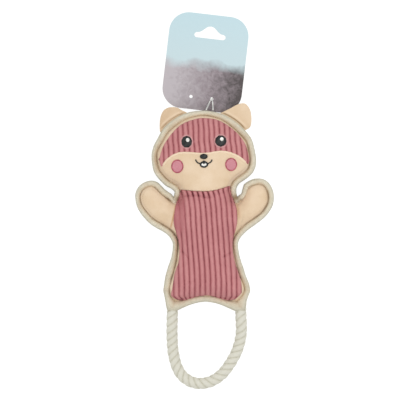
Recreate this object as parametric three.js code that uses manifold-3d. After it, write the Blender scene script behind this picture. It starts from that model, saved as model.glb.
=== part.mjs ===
// Stuffed hamster dog toy with a rope loop and its hanging card, lying on its back, face up.
// Millimetres, +Z up, +Y towards the head. The origin is on the flat of the back, under the belly.
import * as THREE from "three";
import { mergeVertices } from "three/addons/utils/BufferGeometryUtils.js";
import Module from "manifold-3d";

const wasm = await Module();
wasm.setup();

const degree = Math.PI / 180;
const quarterTurn = 90 * degree;

// Clearances and layers that several pieces share
const clearance = 0.3; // between pieces that touch
const overrun = 12; // how far a cut reaches past what it cuts
const layerGap = 0.4; // between one fabric layer and the next
const fabric = 1.0; // suede and canvas thickness
const seamHeight = 13.5; // the side seam's height above the floor
const bandWidth = 6.5; // canvas edge band, seen from the front
const bandHalfHeight = 4.6;
const seamEdge = 3.0; // how far the panels stand off the seam plane in the groove

// Torso, seen from the front, half-widths from its centre line
const torso = {
  neckY: 59.6,
  neckHalf: 30.8,
  shoulderGap: 1.7, // between the neck and the shoulder's bending line
  crotchY: 55.6, // upper corner between arm and neck
  armpitY: 10.1, // lower corner between arm and side
  waistHalf: 33.8,
  hipHalf: 43.4,
  hemY: -57.5,
  hemRise: 5,
};
// How far down the side from the armpit to the foot's corner these places lie
const waistDropShare = 0.231;
const thighDropShare = 0.493;
const hipDropShare = 0.804;
const shoulderX = torso.neckHalf + torso.shoulderGap;
const thighShare = 0.5; // how far the thigh's half-width lies from the waist's to the hip's
const footShare = 0.94; // the foot's half-width as a share of the hip's
const hemShare = 0.711; // half the hem's arch as a share of the foot's half-width

// Head, seen from the front
const head = {
  x: -2.5,
  y: 90.9,
  halfWidth: 52.5,
  halfHeight: 50,
  earFrom: 8 * degree, // where the round crown of the head starts and ends
  earTo: 172 * degree,
};
// Jowl points below the crown, as shares of the half-width and of the drop from the head's centre to the neck
const rightJowlShares = [[0.69, 0.8], [0.83, 0.6], [0.96, 0.36]];
const leftJowlShares = [[0.97, 0.33], [0.87, 0.57], [0.71, 0.79]];

// Each arm is a round mitten, whose tip starts a gap beside the shoulder's bending line
const arms = {
  right: { side: 1, tipGap: 1.3, tipY: 54.5, tipRadius: 17.2 },
  left: { side: -1, tipGap: 5.3, tipY: 53.5, tipRadius: 16.7 },
};
// The mitten's full lower edge, as shares of the arm's reach past the armpit and its rise to the tip's middle
const armLowerShares = [
  [0.21, 0.175], [0.365, 0.275], [0.525, 0.37], [0.67, 0.46], [0.785, 0.55], [0.87, 0.645], [0.935, 0.74],
  [0.975, 0.84],
];
const armRoundFrom = -8 * degree; // where the tip's round starts

// Heights of the stuffed forms above and below the seam plane, and how far in they take to rise
const front = { body: 18, head: 17, shoulder: 12.5, arm: 9.5 };
const back = { body: 14, head: 14, shoulder: 11, arm: 9 };
const roll = { body: 22, head: 30, arm: 10.5 };
const headTurnLength = 28; // length over which the neck turns into the head
const armTurnLength = 18; // length over which the shoulder turns into the arm
const shoulderStart = 15; // distance from the centre line where the belly starts to fall to the shoulder
const shoulderFade = 18;

// Bending lines
const neckBend = 12; // degrees each way
const armBend = 20;
const bendSpare = 0.8; // degrees of room on each wall

// Corduroy
const cord = {
  base: 0.8,
  rib: 1.1,
  pitch: 5.45,
  headInset: 1.9,
  bellyInset: 1.3,
  crownShare: 0.14, // how far above the mask line's ends its round top starts
};
const ribHeightShares = [0, 1, 1]; // groove, then the two shoulders of a wale
const ribPlaceShares = [0, 0.24, 0.76];
const corduroyRowShares = [0, 0.07, 0.17, 0.32, 0.5, 0.68, 0.83, 0.93, 1];
// The line where the pink mask meets the muzzle, as shares of the head's half-width and half-height
const maskLineShares = [
  [-1.0, -0.26], [-0.86, -0.14], [-0.71, -0.01], [-0.6, 0.08], [-0.46, 0.14], [-0.33, 0.15], [-0.15, 0.138],
  [-0.02, 0.128], [0.11, 0.138], [0.29, 0.168], [0.42, 0.168], [0.55, 0.132], [0.69, 0.074], [0.82, -0.04],
  [0.98, -0.16],
];

// Face
const stitch = 0.9; // satin stitching stands this high
const face = {
  eyeLeft: { shares: [-0.316, 0.364], rx: 5.15, ry: 5.65 },
  eyeRight: { shares: [0.339, 0.382], rx: 5.35, ry: 5.45 },
  glint: { right: 1.0, up: 1.8, rx: 1.75, ry: 1.9 }, // beside the eye's middle
  nose: { shares: [0.013, 0.066], rx: 3.7, ry: 2.6 },
  mouth: { shares: [0.017, -0.094], rx: 4.0, ry: 3.1 },
  mouthLine: 1.1,
  smileWidth: 1.0,
  cheekLeft: { shares: [-0.493, -0.132], rx: 6.1, ry: 6.8 },
  cheekRight: { shares: [0.537, -0.094], rx: 5.95, ry: 6.6 },
  cheekThickness: 1.2,
};
const smileLeftShares = [[-0.145, 0.006], [-0.128, -0.032], [-0.101, -0.060], [-0.069, -0.076]];
const smileRightShares = [[0.173, 0.006], [0.158, -0.030], [0.133, -0.056], [0.103, -0.072]];

// Ears: two plies of suede, hinged where they leave the head
const ear = {
  edge: 0.35, // ply thickness at the rim
  ply: 0.85, // ply thickness in the middle
  plyGap: 0.3,
  drop: 1.2, // the ears lie this far behind the side seam
  rootGap: 0.65,
};
// Ear outlines on the head: where the root starts and ends on the crown, and the free edge between them
const leftEar = {
  rootFrom: 108 * degree,
  rootTo: 145.5 * degree,
  freeShares: [
    [-0.425, 1.022], [-0.505, 1.066], [-0.640, 1.068], [-0.735, 1.026],
    [-0.792, 0.944], [-0.822, 0.830], [-0.843, 0.690],
  ],
};
const rightEar = {
  rootFrom: 36.5 * degree,
  rootTo: 70.5 * degree,
  freeShares: [
    [0.909, 0.672], [0.931, 0.828], [0.909, 1.002], [0.844, 1.114],
    [0.771, 1.148], [0.657, 1.120], [0.505, 1.034],
  ],
};

// Squeaker in the belly
const squeaker = {
  x: 0,
  y: -16,
  radius: 19,
  height: 16,
  wall: 1.1,
  floor: 6.5, // height of its underside
  neckRadius: 5.6,
  reedFlange: 7.4,
  reedFlangeHeight: 1.2,
  reedDepth: 5,
  reedBore: 2.2,
  mouthRadius: 9.5, // channel through the stuffing to the back
  pocketGap: 0.4,
};

// Rope loop and the canvas sleeves that hold its ends
const rope = {
  diameter: 11,
  sides: 8,
  steps: 40,
  exitDrop: 3.4, // how far below the hem it leaves the sleeves
  exitZ: 11.5,
  leftX: -33.5,
  rightX: 35.7,
  sleeveGap: 0.7, // between the sleeves and the stuffed pad above them
  sleeveWall: 1.5,
};
const ropeRoute = [
  [-33.5, -60.9, 11.5], [-33.6, -66.5, 11.5], [-33.7, -72.1, 11.5], [-33.9, -80, 10.2], [-33.8, -89, 8],
  [-33.3, -98.5, 6.3], [-31.9, -108, 5.7], [-29.1, -118, 5.6], [-23.8, -127, 5.6], [-14.9, -133.4, 5.6],
  [-4, -135.2, 5.6], [7.4, -132.3, 5.6], [17.3, -125, 5.6], [25.1, -114.8, 5.6], [31.2, -103.6, 5.8],
  [34.7, -93, 6.8], [36.2, -83, 8.9], [36.2, -75.5, 10.8], [35.9, -70.5, 11.4], [35.7, -65.5, 11.5],
  [35.7, -60.9, 11.5],
];

// Hanging card, its slot and the nylon loop that ties it to the top of the head
const card = {
  x: -5.7, // the middle of its lower edge
  gap: 0.6, // between the head's top and its lower edge
  z: 1.8,
  turn: -6.7 * degree,
  width: 80.8,
  height: 97.5,
  thickness: 0.8,
  corner: 20,
  slotX: 1.4,
  slotDrop: 24.35, // from the card's top to the slot's flat side
  slotHalf: 15.9,
  slotEnd: 2.6, // radius of the slot's ends
  slotHeight: 12.3,
  bellShares: [0.45, 0.36], // how wide the slot's bell is at its foot and its crown
  holeHalf: 10.6,
  holeRise: 12.75, // above the card's lower edge
  holeRadius: 1.7,
};
const cardY = head.y + head.halfHeight + card.gap;
const tie = {
  diameter: 0.9,
  sides: 6,
  steps: 44,
  rootX: 6.5, // middle of its two stitches, beside the head's middle
  rootHalf: 3.6,
  holeGap: 0.55, // each strand lies this far beside the hole's middle
  under: 0.5,
  over: 0.4,
  bowHalf: 1.7, // the bow that it makes behind the card
  bowRise: 5.2,
};

const materials = {
  canvas: { color: 0xcdc2a8, roughness: 0.95 },
  suede: { color: 0xe8cfac, roughness: 0.9 },
  corduroy: { color: 0xc47e82, roughness: 0.95 },
  filling: { color: 0xf4f2ec, roughness: 1 },
  blackThread: { color: 0x23231f, roughness: 0.55 },
  whiteThread: { color: 0xf2f1ec, roughness: 0.55 },
  pinkThread: { color: 0xd68c99, roughness: 0.7 },
  rope: { color: 0xdedbcb, roughness: 0.95 },
  card: { color: 0xc9dfe6, roughness: 0.4 },
  nylon: { color: 0xeeeeea, roughness: 0.25 },
  vinyl: { color: 0xe6e3d8, roughness: 0.4 },
};

// A closed mesh from points and faces, turned to face out
function closedGeometry(points, faces) {
  let volume = 0;
  for (const [a, b, c] of faces) {
    volume += points[a].dot(new THREE.Vector3().crossVectors(points[b], points[c]));
  }
  const index = volume < 0 ? faces.flatMap(([a, b, c]) => [a, c, b]) : faces.flat();
  const geometry = new THREE.BufferGeometry().setFromPoints(points);
  geometry.setIndex(index);
  return geometry;
}

function solidOf(geometry) {
  const bare = geometry.clone();
  bare.deleteAttribute("normal");
  bare.deleteAttribute("uv");
  const merged = mergeVertices(bare, 1e-4);
  const vertProperties = new Float32Array(merged.attributes.position.array);
  const triVerts = new Uint32Array(merged.index.array);
  return new wasm.Manifold(new wasm.Mesh({ numProp: 3, vertProperties, triVerts }));
}

function geometryOf(solid) {
  const mesh = solid.getMesh();
  const geometry = new THREE.BufferGeometry();
  geometry.setAttribute("position", new THREE.BufferAttribute(new Float32Array(mesh.vertProperties), 3));
  geometry.setIndex(new THREE.BufferAttribute(new Uint32Array(mesh.triVerts), 1));
  return geometry;
}

const cut = (geometry, ...cutters) =>
  geometryOf(cutters.reduce((solid, cutter) => solid.subtract(solidOf(cutter)), solidOf(geometry)));
const common = (a, b) => geometryOf(solidOf(a).intersect(solidOf(b)));

const at = (x, y) => new THREE.Vector2(x, y);
const mirrored = (points) => points.map((p) => at(-p.x, p.y)).reverse();
const mix = THREE.MathUtils.lerp;
const eased = (from, to, value) => THREE.MathUtils.smoothstep(value, from, to);
const smoothLine = (points, count) => new THREE.SplineCurve(points).getPoints(count);
const arcPoints = (x, y, radiusX, radiusY, from, to, count) =>
  Array.from({ length: count + 1 }, (_, i) => {
    const angle = mix(from, to, i / count);
    return at(x + radiusX * Math.cos(angle), y + radiusY * Math.sin(angle));
  });

const ovalPoints = (x, y, radiusX, radiusY, count) =>
  arcPoints(x, y, radiusX, radiusY, 0, 2 * Math.PI, count).slice(0, -1);
const onHead = ([x, y]) => at(head.x + x * head.halfWidth, head.y + y * head.halfHeight);

// The line that lies a set distance inside an edge that is walked anticlockwise
function insideLine(points, distance) {
  return points.map((p, i) => {
    const before = points[Math.max(i - 1, 0)];
    const after = points[Math.min(i + 1, points.length - 1)];
    const along = after.clone().sub(before).normalize();
    return at(p.x - along.y * distance, p.y + along.x * distance);
  });
}

// Edges of the toy seen from the front, walked anticlockwise
function headEdge() {
  const drop = head.y - torso.neckY;
  const jowl = ([x, y], side) => at(head.x + side * x * head.halfWidth, head.y - y * drop);
  return smoothLine([
    at(torso.neckHalf, torso.neckY - overrun),
    at(torso.neckHalf, torso.neckY),
    ...rightJowlShares.map((share) => jowl(share, 1)),
    ...arcPoints(head.x, head.y, head.halfWidth, head.halfHeight, head.earFrom, head.earTo, 10),
    ...leftJowlShares.map((share) => jowl(share, -1)),
    at(-torso.neckHalf, torso.neckY),
    at(-torso.neckHalf + bandWidth, torso.neckY - overrun),
  ], 34);
}

const tipMiddleX = (arm) => shoulderX + arm.tipGap + arm.tipRadius;

// The mitten's edge from the armpit round its tip to the crotch, on the right side
function armEdge(arm) {
  const centre = at(tipMiddleX(arm), arm.tipY);
  const armpit = at(shoulderX, torso.armpitY);
  const crotch = at(shoulderX, torso.crotchY);
  const touch = (from, turn) => {
    const away = from.clone().sub(centre);
    return away.angle() + turn * Math.acos(arm.tipRadius / away.length());
  };
  const roundTo = touch(crotch, -1);
  const round = arcPoints(centre.x, centre.y, arm.tipRadius, arm.tipRadius, armRoundFrom, roundTo, 8);
  const reach = centre.x + arm.tipRadius;
  const lower = armLowerShares.map(([x, y]) => at(mix(armpit.x, reach, x), mix(armpit.y, centre.y, y)));
  return [armpit, ...lower, ...round, crotch];
}

const foot = at(torso.hipHalf * footShare, torso.hemY + bandWidth);
const downSide = (share) => mix(torso.armpitY, foot.y, share);
const sideStations = [
  foot,
  at(torso.hipHalf, downSide(hipDropShare)),
  at(mix(torso.waistHalf, torso.hipHalf, thighShare), downSide(thighDropShare)),
  at(torso.waistHalf, downSide(waistDropShare)),
  at(shoulderX, torso.armpitY),
];
const sideEdge = () => smoothLine(sideStations, 8);

const hemEdge = () =>
  new THREE.QuadraticBezierCurve(
    at(-foot.x * hemShare, torso.hemY),
    at(0, torso.hemY + 2 * torso.hemRise),
    at(foot.x * hemShare, torso.hemY),
  ).getPoints(8);

const edges = {
  head: headEdge(),
  armRight: armEdge(arms.right),
  armLeft: mirrored(armEdge(arms.left)),
  sideRight: sideEdge(),
  sideLeft: mirrored(sideEdge()),
  hem: [at(-foot.x, foot.y), ...hemEdge(), foot],
};

// How far a place lies inside the toy's outline
function edgeDistance(x, y) {
  const place = new THREE.Vector3(x, y, 0);
  const nearest = new THREE.Vector3();
  const line = new THREE.Line3();
  let least = Infinity;
  for (const edge of Object.values(edges)) {
    for (let i = 1; i < edge.length; i += 1) {
      line.start.set(edge[i - 1].x, edge[i - 1].y, 0);
      line.end.set(edge[i].x, edge[i].y, 0);
      line.closestPointToPoint(place, true, nearest);
      least = Math.min(least, nearest.distanceTo(place));
    }
  }
  return least;
}

// The stuffed form's height off the seam plane: it rises in a quarter round from the groove to its crown
function stuffedHeight(form, heights, x, y) {
  const across = Math.abs(x);
  let crown = heights.body;
  let reach = roll.body;
  if (form === "head") {
    const upward = eased(torso.neckY, torso.neckY + headTurnLength, y);
    crown = mix(heights.body, heights.head, upward);
    reach = mix(roll.body, roll.head, upward);
  } else if (form === "body") {
    const beside = eased(torso.armpitY - shoulderFade, torso.armpitY, y) *
      (1 - eased(torso.neckY - shoulderFade, torso.neckY, y));
    crown = mix(heights.body, heights.shoulder, beside * eased(shoulderStart, shoulderX, across));
  } else {
    const outward = eased(shoulderX, shoulderX + armTurnLength, across);
    crown = mix(heights.shoulder, heights.arm, outward);
    reach = mix(roll.body, roll.arm, outward);
  }
  const rise = THREE.MathUtils.clamp((edgeDistance(x, y) - bandWidth) / reach, 0, 1);
  return seamEdge + (crown - seamEdge) * Math.sqrt(1 - (1 - rise) ** 2);
}
const frontAt = (form, depth) => (x, y) => seamHeight + stuffedHeight(form, front, x, y) - depth;
// The back is cut flat where it rests, so a depth counts from the floor there
const backAt = (form, depth) => (x, y) => Math.max(seamHeight - stuffedHeight(form, back, x, y), 0) + depth;

// A pad between two height fields, ringed from its outline in to its middle
function padGeometry(outline, middle, ringShares, top, bottom) {
  const points = [];
  const faces = [];
  const count = outline.length;
  for (const height of [top, bottom]) {
    for (const share of ringShares) {
      for (const p of outline) {
        const x = mix(middle.x, p.x, share);
        const y = mix(middle.y, p.y, share);
        points.push(new THREE.Vector3(x, y, height(x, y)));
      }
    }
    points.push(new THREE.Vector3(middle.x, middle.y, height(middle.x, middle.y)));
  }
  const layer = ringShares.length * count + 1;
  for (let i = 0; i < count; i += 1) {
    const next = (i + 1) % count;
    for (let ring = 0; ring < ringShares.length; ring += 1) {
      const a = ring * count + i;
      const b = ring * count + next;
      if (ring === ringShares.length - 1) {
        faces.push([a, b, layer - 1], [layer + b, layer + a, 2 * layer - 1]);
      } else {
        faces.push([a, b, b + count], [a, b + count, a + count]);
        faces.push([layer + b, layer + a, layer + b + count]);
        faces.push([layer + a, layer + a + count, layer + b + count]);
      }
    }
    faces.push([layer + i, layer + next, next], [layer + i, next, i]);
  }
  return closedGeometry(points, faces);
}

// A slab between two height fields on straight rows and columns
function slabGeometry(columns, rows, top, bottom) {
  const points = [];
  const faces = [];
  const wide = columns.length;
  const layer = wide * rows.length;
  for (const height of [top, bottom]) {
    for (const y of rows) {
      for (const [column, x] of columns.entries()) points.push(new THREE.Vector3(x, y, height(x, y, column)));
    }
  }
  const quad = (a, b, c, d) => faces.push([a, b, c], [a, c, d]);
  for (let row = 0; row < rows.length - 1; row += 1) {
    for (let column = 0; column < wide - 1; column += 1) {
      const a = row * wide + column;
      quad(a, a + 1, a + wide + 1, a + wide);
      quad(layer + a, layer + a + wide, layer + a + wide + 1, layer + a + 1);
    }
  }
  for (let column = 0; column < wide - 1; column += 1) {
    const far = (rows.length - 1) * wide + column;
    quad(layer + column, layer + column + 1, column + 1, column);
    quad(far, far + 1, layer + far + 1, layer + far);
  }
  for (let row = 0; row < rows.length - 1; row += 1) {
    const start = row * wide;
    const end = start + wide - 1;
    quad(start, start + wide, layer + start + wide, layer + start);
    quad(end, layer + end, layer + end + wide, end + wide);
  }
  return closedGeometry(points, faces);
}

// A skin over a row of like sections, closed at both ends
function loftGeometry(sections) {
  const count = sections[0].length;
  const faces = [];
  const last = (sections.length - 1) * count;
  for (let s = 0; s < sections.length - 1; s += 1) {
    for (let i = 0; i < count; i += 1) {
      const a = s * count + i;
      const b = s * count + ((i + 1) % count);
      faces.push([a, b, b + count], [a, b + count, a + count]);
    }
  }
  for (let i = 1; i < count - 1; i += 1) faces.push([0, i + 1, i], [last, last + i, last + i + 1]);
  return closedGeometry(sections.flat(), faces);
}

function prismGeometry(outline, bottom, top) {
  const shape = new THREE.Shape(outline);
  const block = new THREE.ExtrudeGeometry(shape, { depth: top - bottom, bevelEnabled: false });
  return block.translate(0, 0, bottom);
}

// Everything on the far side of a bending line, with walls that lean away so that the pieces can bend
function bendCutter(x, y, towards, bend, from, to) {
  const lean = Math.tan((bend / 2 + bendSpare) * degree);
  const half = clearance / 2;
  const reach = seamHeight + front.body + overrun;
  const shape = new THREE.Shape([
    at(-reach, -reach), at(half + reach * lean, -reach), at(half, 0), at(half + reach * lean, reach),
    at(-reach, reach),
  ]);
  const geometry = new THREE.ExtrudeGeometry(shape, { depth: to - from, bevelEnabled: false });
  const up = new THREE.Vector3(0, 0, 1);
  const along = new THREE.Vector3().crossVectors(towards, up);
  geometry.translate(0, 0, along.x + along.y > 0 ? from : -to);
  geometry.applyMatrix4(new THREE.Matrix4().makeBasis(towards, up, along));
  return geometry.translate(x, y, seamHeight);
}

const right = new THREE.Vector3(1, 0, 0);
const left = new THREE.Vector3(-1, 0, 0);
const upward = new THREE.Vector3(0, 1, 0);
const downward = new THREE.Vector3(0, -1, 0);
const wide = 3 * torso.neckHalf;
const headCutter = bendCutter(0, torso.neckY, upward, neckBend, -wide, wide);
const bodyCutters = [
  bendCutter(0, torso.neckY, downward, neckBend, -wide, wide),
  bendCutter(shoulderX, 0, left, armBend, torso.armpitY, torso.neckY + overrun),
  bendCutter(-shoulderX, 0, right, armBend, torso.armpitY, torso.neckY + overrun),
];
const armCutters = {
  right: bendCutter(shoulderX, 0, right, armBend, -wide, wide),
  left: bendCutter(-shoulderX, 0, left, armBend, -wide, wide),
};

// The torso's inner outline: the groove along its sides, round the crotches and over the hem
function torsoOutline(inset) {
  const side = insideLine(sideEdge(), inset);
  const hem = insideLine(hemEdge(), inset);
  const slope = armSlope.angle();
  const half = [
    ...hem.slice(4),
    at(side[0].x - footCorner, side[0].y),
    ...side.slice(1, -1),
    ...arcPoints(shoulderX, torso.armpitY, inset, inset, 2 * quarterTurn, slope + quarterTurn, 2),
    at(shoulderX + overrun / 4, torso.armpitY + inset / Math.cos(slope) + (overrun / 4) * Math.tan(slope)),
    at(shoulderX + overrun / 4, torso.crotchY - inset),
    ...arcPoints(shoulderX, torso.crotchY, inset, inset, -quarterTurn, -2 * quarterTurn, 3),
    at(shoulderX - inset, torso.neckY + overrun / 4),
  ];
  return [...half, ...mirrored(half).slice(0, -1)];
}
const footCorner = 3.5; // the front panel's corner at the foot
const armSlope = edges.armRight[1].clone().sub(edges.armRight[0]).normalize();

const ringShares = [1, 0.93, 0.78, 0.48];
const armMiddleShares = { across: 0.35, up: 0.72 };
const torsoMiddle = at(0, 0);
const headMiddle = at(head.x, head.y);

function headOutline(inset) {
  return insideLine(edges.head, inset);
}
// A mitten's outer and inner lines, which run on past the armpit and fan round the crotch
function armLines(arm, inset) {
  const edge = armEdge(arm);
  const along = edge[1].clone().sub(edge[0]).normalize();
  edge.unshift(edge[0].clone().addScaledVector(along, -overrun));
  const inner = insideLine(edge, inset);
  const crotch = edge[edge.length - 1];
  const lastTurn = inner[inner.length - 1].clone().sub(crotch).angle() - 2 * Math.PI;
  const fan = cornerFan(crotch.x, crotch.y, lastTurn, fanFrom / 2 - 2 * quarterTurn, fanSteps, () => inset);
  return { outer: [...edge, ...fan.outer.slice(1)], inner: [...inner, ...fan.inner.slice(1)] };
}
function armOutline(arm, inset) {
  const { inner } = armLines(arm, inset);
  return arm.side > 0 ? inner : mirrored(inner);
}
function armBand(arm) {
  const { outer, inner } = armLines(arm, bandWidth);
  const band = bandGeometry(outer, inner);
  return arm.side > 0 ? band : mirrorGeometry(band);
}
const armMiddle = (arm) => at(
  arm.side * mix(shoulderX, tipMiddleX(arm), armMiddleShares.across),
  mix(torso.armpitY, arm.tipY, armMiddleShares.up),
);

// Cover and stuffing of one form
const panelInset = bandWidth + clearance;
const inside = fabric + layerGap;
function frontPanel(form, outline, middle) {
  return padGeometry(outline(panelInset), middle, ringShares, frontAt(form, 0), frontAt(form, fabric));
}
function backPanel(form, outline, middle) {
  return padGeometry(outline(panelInset), middle, ringShares, backAt(form, fabric), backAt(form, 0));
}
function stuffing(form, outline, middle) {
  return padGeometry(outline(panelInset), middle, ringShares, frontAt(form, inside), backAt(form, inside));
}

// An edge band: a soft roll between an outer and an inner line
const bandSides = 8;
function bandGeometry(outer, inner) {
  const sections = outer.map((p, i) => {
    const q = inner[i];
    return Array.from({ length: bandSides }, (_, k) => {
      const turn = (4 * quarterTurn * k) / bandSides;
      const share = (1 + Math.cos(turn)) / 2;
      const height = bandHalfHeight * Math.sin(turn);
      return new THREE.Vector3(mix(p.x, q.x, share), mix(p.y, q.y, share), seamHeight + height);
    });
  });
  return loftGeometry(sections);
}
const fanFrom = 81 * degree; // where a fan round a corner starts, a little past the bending line
const fanSteps = 4;
const plainBand = (edge) => bandGeometry(edge, insideLine(edge, bandWidth));

// The band that fans round an inner corner of the outline
function cornerFan(x, y, from, to, count, radiusAt) {
  const outer = arcPoints(x, y, clearance, clearance, from, to, count);
  const inner = outer.map((_, i) => {
    const angle = mix(from, to, i / count);
    return at(x + radiusAt(angle) * Math.cos(angle), y + radiusAt(angle) * Math.sin(angle));
  });
  return { outer, inner };
}

function sideBand() {
  const lean = armSlope.angle() + quarterTurn;
  const fan = cornerFan(shoulderX, torso.armpitY, fanFrom, 2 * quarterTurn, fanSteps, (angle) =>
    bandWidth / Math.cos(Math.min(angle - lean, 0)));
  const side = sideEdge().slice(0, -1);
  const inner = insideLine(sideEdge(), bandWidth).slice(0, -1);
  return bandGeometry([...side, ...fan.outer.reverse()], [...inner, ...fan.inner.reverse()]);
}
function shoulderBand() {
  const fanTo = fanFrom - 3 * quarterTurn;
  const fan = cornerFan(shoulderX, torso.crotchY, -fanFrom, fanTo, fanSteps + 1, () => bandWidth);
  return bandGeometry(fan.outer, fan.inner);
}

// Turns a right-hand piece into the left-hand one
function mirrorGeometry(geometry) {
  const flipped = geometry.clone().scale(-1, 1, 1);
  const index = flipped.index.array;
  for (let i = 0; i < index.length; i += 3) [index[i + 1], index[i + 2]] = [index[i + 2], index[i + 1]];
  return flipped;
}

// Corduroy: a ribbed slab that follows the panel under it, trimmed to its outline
function corduroy(form, outline, columnsFrom, columnsTo) {
  const box = new THREE.Box2().setFromPoints(outline);
  const low = box.min.y - clearance;
  const high = box.max.y + clearance;
  const columns = [];
  const ribs = [];
  for (let wale = columnsFrom; wale < columnsTo; wale += 1) {
    ribPlaceShares.forEach((share, k) => {
      columns.push((wale + share) * cord.pitch);
      ribs.push(cord.rib * ribHeightShares[k]);
    });
  }
  const rows = corduroyRowShares.map((share) => mix(low, high, share));
  const lift = frontAt(form, -layerGap);
  const top = (x, y, column) => lift(x, y) + cord.base + ribs[column];
  const slab = slabGeometry(columns, rows, top, frontAt(form, fabric));
  const trimmed = common(slab, prismGeometry(outline, seamHeight, seamHeight + front.body + overrun));
  const [panelOutline, middle] = form === "head" ? [headOutline, headMiddle] : [torsoOutline, torsoMiddle];
  const under = padGeometry(panelOutline(bandWidth + clearance), middle, ringShares, lift, () => 0);
  return cut(trimmed, under);
}

function bellyOutline() {
  const inner = torsoOutline(bandWidth + clearance + cord.bellyInset);
  const edgeX = shoulderX - cord.bellyInset - front.shoulder * Math.tan((armBend / 2 + bendSpare) * degree);
  const edgeY = torso.neckY - cord.bellyInset - front.body * Math.tan((neckBend / 2 + bendSpare) * degree);
  return inner.map((p) => at(THREE.MathUtils.clamp(p.x, -edgeX, edgeX), Math.min(p.y, edgeY)));
}

function maskOutline() {
  const line = smoothLine(maskLineShares.map((shares) => onHead(shares)), 2 * maskLineShares.length);
  const [firstShare, ...otherShares] = maskLineShares.map(([, y]) => y);
  const lastShare = otherShares.pop();
  const crown = insideLine(edges.head, bandWidth + cord.headInset).filter((p) => {
    const shareX = (p.x - head.x) / head.halfWidth;
    const shareY = (p.y - head.y) / head.halfHeight;
    return shareY > mix(firstShare, lastShare, (shareX + 1) / 2) + cord.crownShare;
  });
  const edgeLeft = crown[crown.length - 1].x;
  const edgeRight = crown[0].x;
  return [...crown, ...line.filter((p) => p.x > edgeLeft && p.x < edgeRight)];
}

// A stitched or sewn-on patch that follows the panel
const patchSides = 16;
const patchShares = [1, 0.55];
function patch(spot, lift, thickness) {
  const outline = ovalPoints(spot.x, spot.y, spot.rx, spot.ry, patchSides);
  return padGeometry(outline, spot, patchShares, frontAt("head", -lift - thickness), frontAt("head", -lift));
}

function stitchedRing(spot, line, lift, thickness) {
  const inner = { ...spot, rx: spot.rx - line, ry: spot.ry - line };
  const outer = patch(spot, lift, thickness);
  const hole = prismGeometry(
    ovalPoints(inner.x, inner.y, inner.rx, inner.ry, patchSides),
    seamHeight, seamHeight + front.body + overrun,
  );
  return cut(outer, hole);
}

function stitchedLine(places, lift, thickness) {
  const path = smoothLine(places.map((shares) => onHead(shares)), 6);
  const sideA = insideLine(path, face.smileWidth / 2);
  const sideB = insideLine(path, -face.smileWidth / 2);
  const low = frontAt("head", -lift);
  const high = frontAt("head", -lift - thickness);
  return loftGeometry(path.map((_, i) => {
    const a = sideA[i];
    const b = sideB[i];
    const corner = (p, height) => new THREE.Vector3(p.x, p.y, height(p.x, p.y));
    return [corner(a, low), corner(b, low), corner(b, high), corner(a, high)];
  }));
}

// One ply of an ear, thin at its rim and fuller in the middle
function earPly(shape, isFront) {
  const root = arcPoints(head.x, head.y, head.halfWidth + ear.rootGap, head.halfHeight + ear.rootGap,
    shape.rootTo, shape.rootFrom, 6);
  const tips = shape.freeShares.map((shares) => onHead(shares));
  const free = smoothLine([root[root.length - 1], ...tips, root[0]], 16);
  const outline = [...root, ...free.slice(1, -1)].reverse();
  const middle = outline.reduce((sum, p) => sum.add(p), at(0, 0)).divideScalar(outline.length);
  const level = seamHeight - ear.drop;
  const reach = outline.reduce((sum, p) => sum + p.distanceTo(middle), 0) / outline.length;
  const thickness = (x, y) => mix(ear.ply, ear.edge, Math.min(middle.distanceTo(at(x, y)) / reach, 1) ** 2);
  const outerFace = isFront
    ? (x, y) => level + ear.plyGap / 2 + thickness(x, y)
    : (x, y) => level - ear.plyGap / 2 - thickness(x, y);
  const innerFace = () => level + (isFront ? 1 : -1) * ear.plyGap / 2;
  return isFront
    ? padGeometry(outline, middle, patchShares, outerFace, innerFace)
    : padGeometry(outline, middle, patchShares, innerFace, outerFace);
}

// A turned piece about a line along Z
const turned = (profile, sides) =>
  new THREE.LatheGeometry(profile.map(([r, z]) => at(r, z)), sides).rotateX(quarterTurn);

function squeakerBulb() {
  const { radius, height, wall, neckRadius } = squeaker;
  // The outer skin as shares of the radius and the height, with a waist that lets it squeeze
  const skinShares = [[0.8, 0], [1, 0.2], [0.93, 0.5], [1, 0.8], [0.8, 1]];
  const skin = skinShares.map(([r, z]) => [radius * r, height * z]);
  const lining = skinShares.map(([r, z]) => [radius * r - wall, mix(wall, height - wall, z)]).reverse();
  const profile = [
    [neckRadius, 0], ...skin, [0, height], [0, height - wall], ...lining, [neckRadius, wall], [neckRadius, 0],
  ];
  return turned(profile, 20).translate(squeaker.x, squeaker.y, squeaker.floor);
}
function squeakerReed() {
  const { neckRadius, reedFlange, reedFlangeHeight, reedDepth, reedBore, wall } = squeaker;
  const low = -reedFlangeHeight - clearance;
  const profile = [
    [reedBore, low], [reedFlange, low], [reedFlange, -clearance], [neckRadius - clearance, -clearance],
    [neckRadius - clearance, reedDepth - wall], [reedBore, reedDepth], [reedBore, low],
  ];
  return turned(profile, 16).translate(squeaker.x, squeaker.y, squeaker.floor);
}
function squeakerPocket() {
  const { radius, height, floor, mouthRadius, pocketGap } = squeaker;
  const profile = [
    [0, -floor - overrun], [mouthRadius, -floor - overrun], [mouthRadius, -pocketGap],
    [radius + pocketGap, -pocketGap], [radius + pocketGap, height + pocketGap], [0, height + pocketGap],
  ];
  return turned(profile, 20).translate(squeaker.x, squeaker.y, floor);
}

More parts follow.
